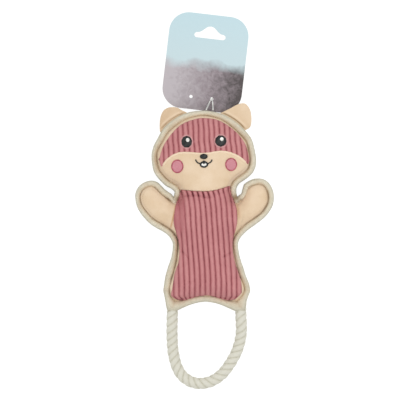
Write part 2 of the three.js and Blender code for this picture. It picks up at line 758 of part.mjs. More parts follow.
// Rope
const exitY = torso.hemY - rope.exitDrop;
const sleeveTop = torso.hemY + panelInset - rope.sleeveGap;
const alongY = (geometry) => geometry.rotateX(-quarterTurn);
function ropeLoop() {
  const places = ropeRoute.map(([x, y, z]) => new THREE.Vector3(x, y, z));
  const path = new THREE.CatmullRomCurve3(places, false, "centripetal");
  const section = new THREE.Shape(ovalPoints(0, 0, rope.diameter / 2, rope.diameter / 2, rope.sides));
  const tube = new THREE.ExtrudeGeometry(section, { steps: rope.steps, extrudePath: path });
  // The ends are round about the line on which the loop swings
  const axisY = exitY - rope.diameter / 2;
  const ends = [rope.leftX, rope.rightX].map((x) => {
    const block = new THREE.BoxGeometry(rope.diameter + overrun, overrun, rope.diameter + overrun);
    block.translate(x, axisY + overrun / 2, rope.exitZ);
    const width = rope.diameter + 2 * overrun;
    const round = new THREE.CylinderGeometry(rope.diameter / 2, rope.diameter / 2, width, 3 * rope.sides);
    round.rotateZ(quarterTurn).translate(x, axisY, rope.exitZ);
    return cut(block, round);
  });
  return cut(tube, ...ends);
}
const sleeveSides = 20;
const sleeveRadius = rope.diameter / 2 + clearance + rope.sleeveWall;
function ropeSleeve(x) {
  const bore = rope.diameter / 2 + clearance;
  const length = sleeveTop - exitY - clearance;
  const tube = turned([
    [bore, 0], [sleeveRadius - rope.sleeveWall / 2, 0], [sleeveRadius, rope.sleeveWall],
    [sleeveRadius, length], [bore, length], [bore, 0],
  ], sleeveSides);
  return alongY(tube).translate(x, exitY + clearance, rope.exitZ);
}
function ropeTail(x) {
  const length = sleeveTop - exitY - clearance;
  const radius = rope.diameter / 2;
  const plug = turned([[0, 0], [radius, 0], [radius, length], [0, length]], rope.sides);
  return alongY(plug).translate(x, exitY + clearance, rope.exitZ);
}

// Card
const cardPlace = (geometry) => geometry.rotateZ(card.turn).translate(card.x, cardY, card.z);
function hangCard() {
  const halfWidth = card.width / 2;
  const shape = new THREE.Shape();
  const [lowCorner, highCorner] = [card.corner, card.height - card.corner];
  const corners = [[1, highCorner], [-1, highCorner], [-1, lowCorner], [1, lowCorner]];
  corners.forEach(([side, y], i) => shape.absarc(side * (halfWidth - card.corner), y,
    card.corner, i * quarterTurn, (i + 1) * quarterTurn));
  // A flat bottom, round ends and a bell-shaped top
  const { slotX, slotHalf, slotEnd, slotHeight, bellShares } = card;
  const slotY = card.height - card.slotDrop;
  const slot = new THREE.Path();
  const shoulder = slotHalf - slotEnd;
  const [low, ledge, top] = [slotY, slotY + 2 * slotEnd, slotY + slotHeight];
  const [foot, crown] = bellShares.map((share) => slotHalf * share);
  slot.moveTo(slotX - shoulder, low);
  slot.lineTo(slotX + shoulder, low);
  slot.absarc(slotX + shoulder, low + slotEnd, slotEnd, -quarterTurn, quarterTurn);
  slot.bezierCurveTo(slotX + foot, ledge, slotX + crown, top, slotX, top);
  slot.bezierCurveTo(slotX - crown, top, slotX - foot, ledge, slotX - shoulder, ledge);
  slot.absarc(slotX - shoulder, low + slotEnd, slotEnd, quarterTurn, 3 * quarterTurn);
  shape.holes.push(slot);
  for (const side of [-1, 1]) {
    const hole = new THREE.Path();
    hole.absarc(side * card.holeHalf, card.holeRise, card.holeRadius, 0, 4 * quarterTurn);
    shape.holes.push(hole);
  }
  const sheet = { depth: card.thickness, bevelEnabled: false, curveSegments: 7 };
  return cardPlace(new THREE.ExtrudeGeometry(shape, sheet));
}
// The thread rises from two stitches, goes through the right hole and makes a bow behind the card
function cardTie() {
  const hole = new THREE.Vector3(card.holeHalf, card.holeRise, 0)
    .applyAxisAngle(new THREE.Vector3(0, 0, 1), card.turn).add(new THREE.Vector3(card.x, cardY, card.z));
  const rootY = head.y + head.halfHeight + tie.diameter / 2;
  const over = hole.z + card.thickness + tie.diameter / 2 + tie.over;
  const under = tie.under + tie.diameter / 2;
  const strand = (side) => {
    const rootX = head.x + tie.rootX + side * tie.rootHalf;
    const holeX = hole.x + side * tie.holeGap;
    const between = (share, height) =>
      new THREE.Vector3(mix(rootX, holeX, share), mix(rootY, hole.y, share), height);
    return [
      between(0, seamHeight),
      between(1 / 3, mix(seamHeight, over, 1 / 2)),
      between(5 / 6, over + tie.diameter),
      new THREE.Vector3(holeX, hole.y, hole.z + card.thickness / 2),
      new THREE.Vector3(hole.x + side * tie.bowHalf, hole.y + tie.bowRise / 3, under),
    ];
  };
  const bow = new THREE.Vector3(hole.x, hole.y + tie.bowRise, under);
  const route = [...strand(-1), bow, ...strand(1).reverse()];
  const path = new THREE.CatmullRomCurve3(route, false, "centripetal");
  const section = new THREE.Shape(ovalPoints(0, 0, tie.diameter / 2, tie.diameter / 2, tie.sides));
  return new THREE.ExtrudeGeometry(section, { steps: tie.steps, extrudePath: path });
}

// Assembly
const toy = new THREE.Group();
function add(name, geometry, finish) {
  const material = new THREE.MeshStandardMaterial({ ...materials[finish], metalness: 0 });
  const mesh = new THREE.Mesh(geometry, material);
  mesh.name = name;
  toy.add(mesh);
}

// Torso
const bodyFilling = cut(stuffing("body", torsoOutline, torsoMiddle), ...bodyCutters, squeakerPocket());
add("body_stuffing", bodyFilling, "filling");
add("body_front_panel", cut(frontPanel("body", torsoOutline, torsoMiddle), ...bodyCutters), "suede");
add("body_back_panel", cut(backPanel("body", torsoOutline, torsoMiddle), ...bodyCutters), "canvas");
const bellyWales = Math.ceil(torso.hipHalf / cord.pitch);
add("belly_corduroy", corduroy("body", bellyOutline(), -bellyWales, bellyWales), "corduroy");
const rightSide = cut(sideBand(), bodyCutters[1]);
add("side_band_right", rightSide, "canvas");
add("side_band_left", mirrorGeometry(rightSide), "canvas");
const rightShoulder = cut(shoulderBand(), ...bodyCutters);
add("shoulder_band_right", rightShoulder, "canvas");
add("shoulder_band_left", mirrorGeometry(rightShoulder), "canvas");
const sleeveRoom = [rope.leftX, rope.rightX].map((x) => {
  const radius = sleeveRadius + clearance;
  const room = new THREE.CylinderGeometry(radius, radius, 3 * overrun, sleeveSides);
  return room.translate(x, sleeveTop, rope.exitZ);
});
add("hem_band", cut(plainBand(hemEdge()), ...sleeveRoom), "canvas");
add("squeaker_bulb", squeakerBulb(), "vinyl");
add("squeaker_reed", squeakerReed(), "vinyl");
add("rope_sleeve_left", ropeSleeve(rope.leftX), "canvas");
add("rope_sleeve_right", ropeSleeve(rope.rightX), "canvas");
add("rope_tail_left", ropeTail(rope.leftX), "rope");
add("rope_tail_right", ropeTail(rope.rightX), "rope");

// Head
add("head_stuffing", cut(stuffing("head", headOutline, headMiddle), headCutter), "filling");
add("face_panel", cut(frontPanel("head", headOutline, headMiddle), headCutter), "suede");
add("head_back_panel", cut(backPanel("head", headOutline, headMiddle), headCutter), "canvas");
add("head_band", cut(plainBand(edges.head), headCutter), "canvas");
const headWales = Math.ceil((head.halfWidth - head.x) / cord.pitch);
add("forehead_corduroy", corduroy("head", maskOutline(), -headWales, headWales), "corduroy");
const placed = (spot) => {
  const middle = onHead(spot.shares);
  return { x: middle.x, y: middle.y, rx: spot.rx, ry: spot.ry };
};
const overWales = layerGap + cord.base + cord.rib + clearance;
for (const side of ["left", "right"]) {
  const eye = placed(side === "left" ? face.eyeLeft : face.eyeRight);
  add("eye_" + side, patch(eye, overWales, stitch), "blackThread");
  const { right: across, up, rx, ry } = face.glint;
  const glint = { x: eye.x + across, y: eye.y + up, rx, ry };
  add("eye_glint_" + side, patch(glint, overWales + stitch + clearance, stitch / 2), "whiteThread");
}
add("nose", patch(placed(face.nose), layerGap, stitch), "blackThread");
const mouth = placed(face.mouth);
add("mouth", stitchedRing(mouth, face.mouthLine, layerGap, stitch), "blackThread");
const lip = face.mouthLine + clearance;
add("teeth", patch({ ...mouth, rx: mouth.rx - lip, ry: mouth.ry - lip }, layerGap, stitch), "whiteThread");
add("smile_left", stitchedLine(smileLeftShares, layerGap, stitch), "blackThread");
add("smile_right", stitchedLine(smileRightShares, layerGap, stitch), "blackThread");
add("cheek_left", patch(placed(face.cheekLeft), layerGap, face.cheekThickness), "pinkThread");
add("cheek_right", patch(placed(face.cheekRight), layerGap, face.cheekThickness), "pinkThread");

// Ears
for (const [side, shape] of [["left", leftEar], ["right", rightEar]]) {
  add("ear_" + side + "_front", earPly(shape, true), "suede");
  add("ear_" + side + "_back", earPly(shape, false), "suede");
}

// Arms
for (const side of ["left", "right"]) {
  const arm = arms[side];
  const cutter = armCutters[side];
  const outline = (inset) => armOutline(arm, inset);
  add("arm_" + side + "_stuffing", cut(stuffing("arm", outline, armMiddle(arm)), cutter), "filling");
  add("arm_" + side + "_front_panel", cut(frontPanel("arm", outline, armMiddle(arm)), cutter), "suede");
  add("arm_" + side + "_back_panel", cut(backPanel("arm", outline, armMiddle(arm)), cutter), "canvas");
  add("arm_" + side + "_band", cut(armBand(arm), cutter), "canvas");
}

// Rope loop and card
add("rope_loop", ropeLoop(), "rope");
add("hang_card", hangCard(), "card");
add("card_tie", cardTie(), "nylon");

export default toy;
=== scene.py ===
import math

import bmesh
import bpy
import numpy as np
from mathutils import Matrix, Vector, noise


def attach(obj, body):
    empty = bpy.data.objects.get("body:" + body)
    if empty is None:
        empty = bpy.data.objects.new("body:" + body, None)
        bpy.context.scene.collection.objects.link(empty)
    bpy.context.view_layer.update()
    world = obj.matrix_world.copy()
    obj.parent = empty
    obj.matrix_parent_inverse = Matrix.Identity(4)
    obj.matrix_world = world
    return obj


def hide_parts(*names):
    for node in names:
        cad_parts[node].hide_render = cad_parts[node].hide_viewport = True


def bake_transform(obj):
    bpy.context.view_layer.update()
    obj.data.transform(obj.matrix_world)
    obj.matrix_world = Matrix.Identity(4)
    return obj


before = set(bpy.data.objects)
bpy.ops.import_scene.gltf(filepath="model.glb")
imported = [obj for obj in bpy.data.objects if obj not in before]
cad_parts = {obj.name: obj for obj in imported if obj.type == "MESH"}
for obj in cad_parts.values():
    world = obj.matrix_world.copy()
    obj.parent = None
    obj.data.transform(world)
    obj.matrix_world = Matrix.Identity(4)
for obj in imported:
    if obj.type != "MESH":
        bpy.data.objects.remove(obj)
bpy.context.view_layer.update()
mm = 0.001
turn = 2 * math.pi
seamZ = 13.5  # mm, the height of the seam between the front and the back

# the camera, the lights and the floor
stage = {
    "middle": (-5.6, 50.5),  # mm, the middle of the picture on the seam plane
    "span": 404.0,  # mm across the picture
    "lens": 300.0,
    "sensor": 36.0,
    "world": 0.77,  # a plain even light
    "lamps": [("keyLamp", 0.55, 4.0, (0.34, 0.3, 1.08)),  # size in metres, watts, place
              ("fillLamp", 0.8, 1.5, (-0.6, -0.25, 0.9))],
    "aim": (0, 0.02, 0),
    "floorZ": -0.4,
    "floorGlow": 0.93,  # the backdrop's own white; the rest of it is left to the toy's shadow
    "floorPaint": ("#f4f4f2", "#767674"),  # for the light that it throws back, and where it is seen
}


def hexColour(code):  # sRGB hex to the linear colour that Blender works in
    parts = [int(code[i:i + 2], 16) / 255 for i in (1, 3, 5)]
    linear = [c / 12.92 if c <= 0.04045 else ((c + 0.055) / 1.055) ** 2.4 for c in parts]
    return (*linear, 1.0)


def addNode(tree, kind, settings=None, **links):
    # settings are a ramp's stops, properties or sockets, with colours in hex; links are sockets of other nodes
    node = tree.nodes.new(kind)
    for name, value in (settings or {}).items():
        if name == "stops":
            elements = node.color_ramp.elements
            elements[0].position, elements[1].position = value[0][0], value[-1][0]
            for position, code in value[1:-1]:
                elements.new(position)
            for element, (position, code) in zip(elements, value):
                element.color = hexColour(code)
        elif hasattr(node, name):
            setattr(node, name, value)
        else:
            value = hexColour(value) if isinstance(value, str) else value
            node.inputs[int(name) if name.isdigit() else name].default_value = value
    for name, socket in links.items():
        name = name.replace("_", " ")
        tree.links.new(socket, node.inputs[int(name[1:]) if name[1:].isdigit() else name])
    return node


def newMaterial(name):
    material = bpy.data.materials.new(name)
    material.use_nodes = True
    return material, material.node_tree


def seenDirectly(tree):  # 1 where the backdrop is seen, also in gloss and through glass
    path = addNode(tree, "ShaderNodeLightPath")
    seen = path.outputs["Is Camera Ray"]
    for ray in ("Is Glossy Ray", "Is Transmission Ray"):
        seen = addNode(tree, "ShaderNodeMath", {"operation": "ADD", "use_clamp": True}, _0=seen,
                       _1=path.outputs[ray]).outputs[0]
    return seen


def buildStage():
    scene = bpy.context.scene
    scene.view_settings.view_transform = "Standard"
    distance = stage["span"] * stage["lens"] / stage["sensor"]
    camera = bpy.data.cameras.new("camera")
    camera.lens, camera.sensor_width, camera.clip_end = stage["lens"], stage["sensor"], 10
    scene.camera = bpy.data.objects.new("camera", camera)
    scene.camera.location = (stage["middle"][0] * mm, stage["middle"][1] * mm, (seamZ + distance) * mm)
    scene.collection.objects.link(scene.camera)

    scene.world = bpy.data.worlds.new("softDaylight")
    scene.world.use_nodes = True
    tree = scene.world.node_tree
    background = tree.nodes["Background"]
    background.inputs["Color"].default_value = hexColour("#ffffff")
    strength = addNode(tree, "ShaderNodeMapRange", {"To Min": stage["world"], "To Max": 1.0}, Value=seenDirectly(tree))
    tree.links.new(strength.outputs["Result"], background.inputs["Strength"])

    for name, size, energy, place in stage["lamps"]:
        lamp = bpy.data.lights.new(name, "AREA")
        lamp.shape, lamp.size, lamp.energy = "SQUARE", size, energy
        lampObject = bpy.data.objects.new(name, lamp)
        lampObject.location = place
        lampObject.rotation_euler = (Vector(stage["aim"]) - Vector(place)).to_track_quat("-Z", "Y").to_euler()
        scene.collection.objects.link(lampObject)

    bm = bmesh.new()
    bmesh.ops.create_grid(bm, x_segments=1, y_segments=1, size=3)
    mesh = bpy.data.meshes.new("floor")
    bm.to_mesh(mesh)
    bm.free()
    mesh.transform(Matrix.Translation((0, 0, stage["floorZ"] * mm)))
    floor = bpy.data.objects.new("floor", mesh)
    scene.collection.objects.link(floor)
    material, tree = newMaterial("paleFloor")  # matt painted board
    shader = tree.nodes["Principled BSDF"]
    seen = seenDirectly(tree)
    thrown, shown = stage["floorPaint"]
    paint = addNode(tree, "ShaderNodeMix", {"data_type": "RGBA", "6": thrown, "7": shown}, _0=seen)
    glow = addNode(tree, "ShaderNodeMath", {"operation": "MULTIPLY", "1": stage["floorGlow"]}, _0=seen)
    tree.links.new(paint.outputs[2], shader.inputs["Base Color"])
    tree.links.new(glow.outputs[0], shader.inputs["Emission Strength"])
    shader.inputs["Roughness"].default_value = 0.9
    shader.inputs["Emission Color"].default_value = hexColour("#ffffff")
    mesh.materials.append(material)


# the toy's outline and stuffed form, in millimetres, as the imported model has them
rimWidth = 6.5
rimHalfHeight = 4.6
rimTuck = 4.2  # how far in from the edge the pads start, under the rim
torso = {"neckY": 59.6, "neckHalf": 30.8, "rootX": 32.5, "crotchY": 55.6, "armpitY": 10.1,
         "waist": (33.8, -4), "thigh": (38.6, -20), "hip": (43.4, -39), "foot": (40.8, -51),
         "hemY": -57.5, "hemRise": 5, "hemHalf": 29}
head = {"x": -2.5, "y": 90.9, "halfWidth": 52.5, "halfHeight": 50,
        "rightJowl": [(0.69, 0.8), (0.83, 0.6), (0.96, 0.36)],
        "leftJowl": [(0.97, 0.33), (0.87, 0.57), (0.71, 0.79)]}
arms = {"right": {"side": 1, "tip": (51, 54.5), "radius": 17.2},
        "left": {"side": -1, "tip": (54.5, 53.5), "radius": 16.7},
        "lowerShares": [(0.21, 0.175), (0.365, 0.275), (0.525, 0.37), (0.67, 0.46), (0.785, 0.55), (0.87, 0.645),
                        (0.935, 0.74), (0.975, 0.84)]}
stuffing = {
    "front": {"body": 18, "head": 17, "shoulder": 12.5, "arm": 9.5},
    "back": {"body": 14, "head": 14, "shoulder": 11, "arm": 9},
    "roll": {"body": 22, "head": 30, "arm": 10.5},  # how far in the form takes to rise to its crown
    "groove": 2.6,  # its height beside the rim
}


def smoothLine(points, count):  # a smooth curve through the points
    points = np.array(points, float)
    last = len(points) - 1
    t = np.linspace(0, last, count + 1)
    i = np.minimum(t.astype(int), last - 1)
    w = (t - i)[:, None]
    before, a = points[np.maximum(i - 1, 0)], points[i]
    b, after = points[i + 1], points[np.minimum(i + 2, last)]
    v0, v1 = (b - before) / 2, (after - a) / 2
    return (2 * a - 2 * b + v0 + v1) * w ** 3 + (3 * b - 3 * a - 2 * v0 - v1) * w ** 2 + v0 * w + a


def evenLine(points, count):  # the same line with its points a like distance apart
    points = np.array(points, float)
    steps = np.concatenate([[0], np.cumsum(np.linalg.norm(np.diff(points, axis=0), axis=1))])
    t = np.linspace(0, steps[-1], count + 1)
    return np.stack([np.interp(t, steps, points[:, k]) for k in range(points.shape[1])], axis=1)


def lineLength(points):
    return float(np.linalg.norm(np.diff(points, axis=0), axis=1).sum())


def arcPoints(x, y, radiusX, radiusY, start, end, count):
    return [(x + radiusX * math.cos(a), y + radiusY * math.sin(a)) for a in np.linspace(start, end, count + 1)]


def smoothStep(start, end, value):
    t = np.clip((value - start) / (end - start), 0, 1)
    return t * t * (3 - 2 * t)


def mix(a, b, t):
    return a + (b - a) * t


def bell(value):  # 1 at nought, falling away softly on both sides
    return np.exp(-value ** 2)


def spotAt(x, y, spotX, spotY, reach):  # the same round a place
    return np.exp(-((x - spotX) ** 2 + (y - spotY) ** 2) / reach ** 2)


def quarterRound(t):
    return np.sqrt(1 - (1 - np.clip(t, 0, 1)) ** 2)


def squarer(value, power):  # a fuller sine or cosine, which gives a round roll flatter sides
    return np.sign(value) * np.abs(value) ** power


def readAlong(v, *parts):  # reads lines, and what belongs to their points, at shares v of the way
    stations = np.linspace(0, 1, len(parts[0]))
    return [np.stack([np.interp(v, stations, part[:, k]) for k in range(part.shape[1])], axis=1) for part in parts]


def leftNormals(line):
    along = np.gradient(np.array(line, float), axis=0)
    normals = np.stack([-along[:, 1], along[:, 0]], axis=1)
    return normals / np.linalg.norm(normals, axis=1)[:, None]


def flatPoints(x, y):
    return np.stack([x, y, np.zeros(len(x))], axis=1)


settling = [  # where the sewn outline is pulled out of its pattern: x, y, move in x and y, reach
    (-48, 113, 1.5, 0, 9), (44.5, 112, 1.5, 0, 9), (49.5, 88, 1.8, 0, 10), (-52.5, 82, 0.8, 0, 7),
    (-40.5, 66.7, 1.5, 0, 5), (33.5, 66.5, -1.8, 0, 5), (60, 48, 1.3, 0, 16), (57, 69, 1.5, 1.0, 9),
    (39, 62, 0.8, 0, 7), (-41, 64.5, -1.9, -1.7, 8), (-55, 26, -1.3, -1.0, 8), (-46, 21, -0.8, -0.6, 7),
    (43.5, -37, 1.5, 0, 11), (-41.5, -27, -0.5, 0, 6),
]


def settled(points, side=1):
    points = np.array(points, float) * (side, 1)
    moved = points.copy()
    for x, y, moveX, moveY, reach in settling:
        moved += spotAt(points[:, 0], points[:, 1], x, y, reach)[:, None] * (moveX, moveY)
    return moved * (side, 1)


def eased(points, reach):  # the same line without small corners
    count = len(points)
    spread = max(int(reach / (lineLength(points) / count)), 1)
    weights = np.hanning(2 * spread + 3)[1:-1]
    weights /= weights.sum()
    padded = np.vstack([2 * points[0] - points[spread:0:-1], points, 2 * points[-1] - points[-2:-spread - 2:-1]])
    return np.stack([np.convolve(padded[:, k], weights, "valid") for k in range(2)], axis=1)


def spotted(spots, x, y, plain=0.0):  # the strongest of some soft spots: x, y, reach, strength
    value = np.full(len(x), float(plain))
    for spotX, spotY, reach, strength in spots:
        value = np.maximum(value, strength * spotAt(x, y, spotX, spotY, reach))
    return value


def mirrored(points):
    return (np.array(points) * (-1, 1))[::-1]


def headLine():
    drop = head["y"] - torso["neckY"]
    neck = [(torso["neckHalf"], torso["neckY"] - 12), (torso["neckHalf"], torso["neckY"])]
    right, left = ([(head["x"] + side * x * head["halfWidth"], head["y"] - y * drop) for x, y in shares]
                   for side, shares in ((1, head["rightJowl"]), (-1, head["leftJowl"])))
    crown = arcPoints(head["x"], head["y"], head["halfWidth"], head["halfHeight"],
                      math.radians(8), math.radians(172), 10)
    points = [*neck, *right, *crown, *left, *mirrored(neck)]
    return eased(settled(evenLine(smoothLine(points, 400), 400)), 7)


def armLine(arm):  # armpit, round the tip, to the crotch by the neck, on the right side
    centre = np.array(arm["tip"], float)
    armpit, crotch = np.array([torso["rootX"], torso["armpitY"]]), np.array([torso["rootX"], torso["crotchY"]])
    reach = centre[0] + arm["radius"]
    lower = [(mix(armpit[0], reach, x), mix(armpit[1], centre[1], y)) for x, y in arms["lowerShares"]]
    away = crotch - centre
    end = math.atan2(away[1], away[0]) % turn - math.acos(arm["radius"] / np.linalg.norm(away))
    tip = arcPoints(*centre, arm["radius"], arm["radius"], math.radians(-8), end, 16)
    line = evenLine(np.vstack([smoothLine([armpit, *lower, *tip], 260), crotch]), 150)
    return eased(settled(line, arm["side"]), 6)


def sideLine():
    corner = (torso["rootX"], torso["armpitY"])
    return smoothLine([torso["foot"], torso["hip"], torso["thigh"], torso["waist"], corner], 60)


def hemLine():
    t = np.linspace(0, 1, 41)[:, None]
    a, b = np.array([-torso["hemHalf"], torso["hemY"]]), np.array([torso["hemHalf"], torso["hemY"]])
    top = np.array([0, torso["hemY"] + 2 * torso["hemRise"]])
    return (1 - t) ** 2 * a + 2 * t * (1 - t) * top + t * t * b


headEdge = headLine()
edges = [headEdge[headEdge[:, 1] > torso["crotchY"] - 4], armLine(arms["right"]), mirrored(armLine(arms["left"])),
         settled(sideLine()), settled(mirrored(sideLine())),
         np.array([(-torso["foot"][0], torso["foot"][1]), *hemLine(), torso["foot"]])]


def edgeDistance(x, y):  # how far a place lies inside the toy's edge
    places = np.stack([x, y], axis=1)[:, None, :]
    least = np.full(len(x), 1e9)
    for line in edges:
        line = line if len(line) < 120 else line[::3]
        a, b = line[:-1][None], line[1:][None]
        along = b - a
        t = np.clip(((places - a) * along).sum(2) / np.maximum((along ** 2).sum(2), 1e-9), 0, 1)[..., None]
        least = np.minimum(least, np.linalg.norm(places - (a + along * t), axis=2).min(1))
    return least


rimChanges = [  # where the rim is narrower or wider than usual: x, y, reach, mm
    (-66, 52, 15, -1.2), (-54, 32, 14, -0.2), (66, 52, 16, -0.7), (56, 34, 14, -0.6), (0, 140, 18, -1.0),
    (-55, 95, 14, -0.9), (-34, 129, 11, 0.8), (34, 128, 12, 0.9), (-34, 4, 15, -1.4), (34, 2, 16, -1.1),
    (-42, -36, 14, 0.3), (43, -38, 14, -0.4), (-38, -20, 11, 0.8),
]


def rimWidthAt(x, y):
    return rimWidth + sum(amount * spotAt(x, y, spotX, spotY, reach) for spotX, spotY, reach, amount in rimChanges)


def stuffedHeight(form, side, x, y, distance):
    heights, roll, across = stuffing[side], stuffing["roll"], np.abs(x)
    crown, reach = np.full(len(x), float(heights["body"])), np.full(len(x), float(roll["body"]))
    if form == "head":
        upward = smoothStep(torso["neckY"], torso["neckY"] + 28, y)
        crown, reach = mix(heights["body"], heights["head"], upward), mix(roll["body"], roll["head"], upward)
    elif form == "body":
        beside = smoothStep(torso["armpitY"] - 18, torso["armpitY"], y) * (
            1 - smoothStep(torso["neckY"] - 18, torso["neckY"], y))
        crown = mix(heights["body"], heights["shoulder"], beside * smoothStep(15, torso["rootX"], across))
    else:
        outward = smoothStep(torso["rootX"], torso["rootX"] + 18, across)
        crown, reach = mix(heights["shoulder"], heights["arm"], outward), mix(roll["body"], roll["arm"], outward)
    foot = stuffing["groove"] * smoothStep(rimTuck, rimTuck + 1.2, distance)
    return foot + (crown - stuffing["groove"]) * quarterRound((distance - rimWidthAt(x, y)) / reach)


def wander(points, size, seed=0.0):  # a smooth random value from -1 to 1 at each point
    return np.array([noise.noise(Vector((p[0] / size + seed, p[1] / size - seed, p[2] / size + 2 * seed)))
                     for p in points])


# the meshes, and what each piece is made of and rides on
def gridSkin(name, across, along, place, uvSize=(1, 1), closed=True):
    # a grid of faces whose corners are put in place; welded where its edges meet
    bm = bmesh.new()
    bm.loops.layers.uv.new("UVMap")
    bmesh.ops.create_grid(bm, x_segments=across, y_segments=along, size=1, calc_uvs=True)
    mesh = bpy.data.meshes.new(name)
    bm.to_mesh(mesh)
    bm.free()
    corners = np.empty(len(mesh.vertices) * 3)
    mesh.vertices.foreach_get("co", corners)
    corners = corners.reshape(-1, 3)
    points, marks = place((corners[:, 0] + 1) / 2, (corners[:, 1] + 1) / 2)
    mesh.vertices.foreach_set("co", (np.array(points, float) * mm).ravel())
    for mark, values in marks.items():
        mesh.attributes.new(mark, "FLOAT", "POINT").data.foreach_set("value", np.array(values, np.float32))
    uv = np.empty(len(mesh.loops) * 2)
    mesh.uv_layers["UVMap"].data.foreach_get("uv", uv)
    mesh.uv_layers["UVMap"].data.foreach_set("uv", (uv.reshape(-1, 2) * uvSize).ravel())
    if closed:
        bm = bmesh.new()
        bm.from_mesh(mesh)
        bmesh.ops.remove_doubles(bm, verts=bm.verts, dist=0.01 * mm)
        bmesh.ops.recalc_face_normals(bm, faces=bm.faces)
        bm.to_mesh(mesh)
        bm.free()
    mesh.polygons.foreach_set("use_smooth", [True] * len(mesh.polygons))
    piece = bpy.data.objects.new(name, mesh)
    bpy.context.scene.collection.objects.link(piece)
    return piece


def dress(piece, materials, slot, nodes=(), body=None, between=None, fill=None):
    # materials are one, or a pair for the front and the back
    if isinstance(materials, tuple):
        for material in materials:
            piece.data.materials.append(material)
        for polygon in piece.data.polygons:
            polygon.material_index = 0 if polygon.center.z > seamZ * mm else 1
    else:
        piece.data.materials.append(materials)
    if nodes:
        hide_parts(*nodes)
    if between:
        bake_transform(piece)
    else:
        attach(piece, body)


def cushion(outline, middle, u, v, power):
    # u runs round the outline, v from the back's middle over the edge to the front's middle
    edge, = readAlong(u, outline)
    side = v * 2 - 1
    share = 1 - np.abs(side) ** power
    return mix(middle[0], edge[:, 0], share), mix(middle[1], edge[:, 1], share), side, share, edge


def tube(line, u, v, reach, squash=1.0):  # points at a reach from a line in space
    tangent = np.gradient(line, axis=0)
    tangent /= np.linalg.norm(tangent, axis=1)[:, None]
    across = np.empty_like(line)
    first = np.cross(tangent[0], (0, 0, 1))
    across[0] = first / np.linalg.norm(first)
    for i in range(1, len(line)):  # the cross direction is carried along without a twist
        step = across[i - 1] - tangent[i] * np.dot(across[i - 1], tangent[i])
        across[i] = step / np.linalg.norm(step)
    centre, side, top = readAlong(v, line, across, np.cross(tangent, across))
    angle = (u * turn)[:, None]
    return centre + (side * np.cos(angle) + top * np.sin(angle) * squash) * reach[:, None]


# the materials
def patternColour(tree, value, patterns, span, stops):
    # adds patterns to a first value, each by its amount, and turns the span of the sum into colours
    for pattern, amount in patterns:
        value = addNode(tree, "ShaderNodeMath", {"operation": "MULTIPLY_ADD", "1": amount}, _0=pattern,
                        _2=value).outputs[0]
    share = addNode(tree, "ShaderNodeMapRange", {"From Min": span[0], "From Max": span[1]}, Value=value)
    return addNode(tree, "ShaderNodeValToRGB", {"stops": stops}, _0=share.outputs[0]).outputs[0]


def layered(tree, colour, layers):  # lays colours over another: a mark on the mesh or a socket, amount, colour
    for mark, amount, code in layers:
        if isinstance(mark, str):
            mark = addNode(tree, "ShaderNodeAttribute", {"attribute_name": mark}).outputs["Fac"]
        share = addNode(tree, "ShaderNodeMath", {"operation": "MULTIPLY", "1": amount}, _0=mark)
        colour = addNode(tree, "ShaderNodeMix", {"data_type": "RGBA", "7": code}, _0=share.outputs[0],
                         _6=colour).outputs[2]
    return colour


def finishMaterial(tree, colour, relief, strength, depth, surface):  # depth of the relief in mm
    shader = tree.nodes["Principled BSDF"]
    bump = addNode(tree, "ShaderNodeBump", {"Strength": strength, "Distance": depth * mm}, Height=relief)
    tree.links.new(colour, shader.inputs["Base Color"])
    tree.links.new(bump.outputs[0], shader.inputs["Normal"])
    for name, value in surface.items():
        shader.inputs[name].default_value = value


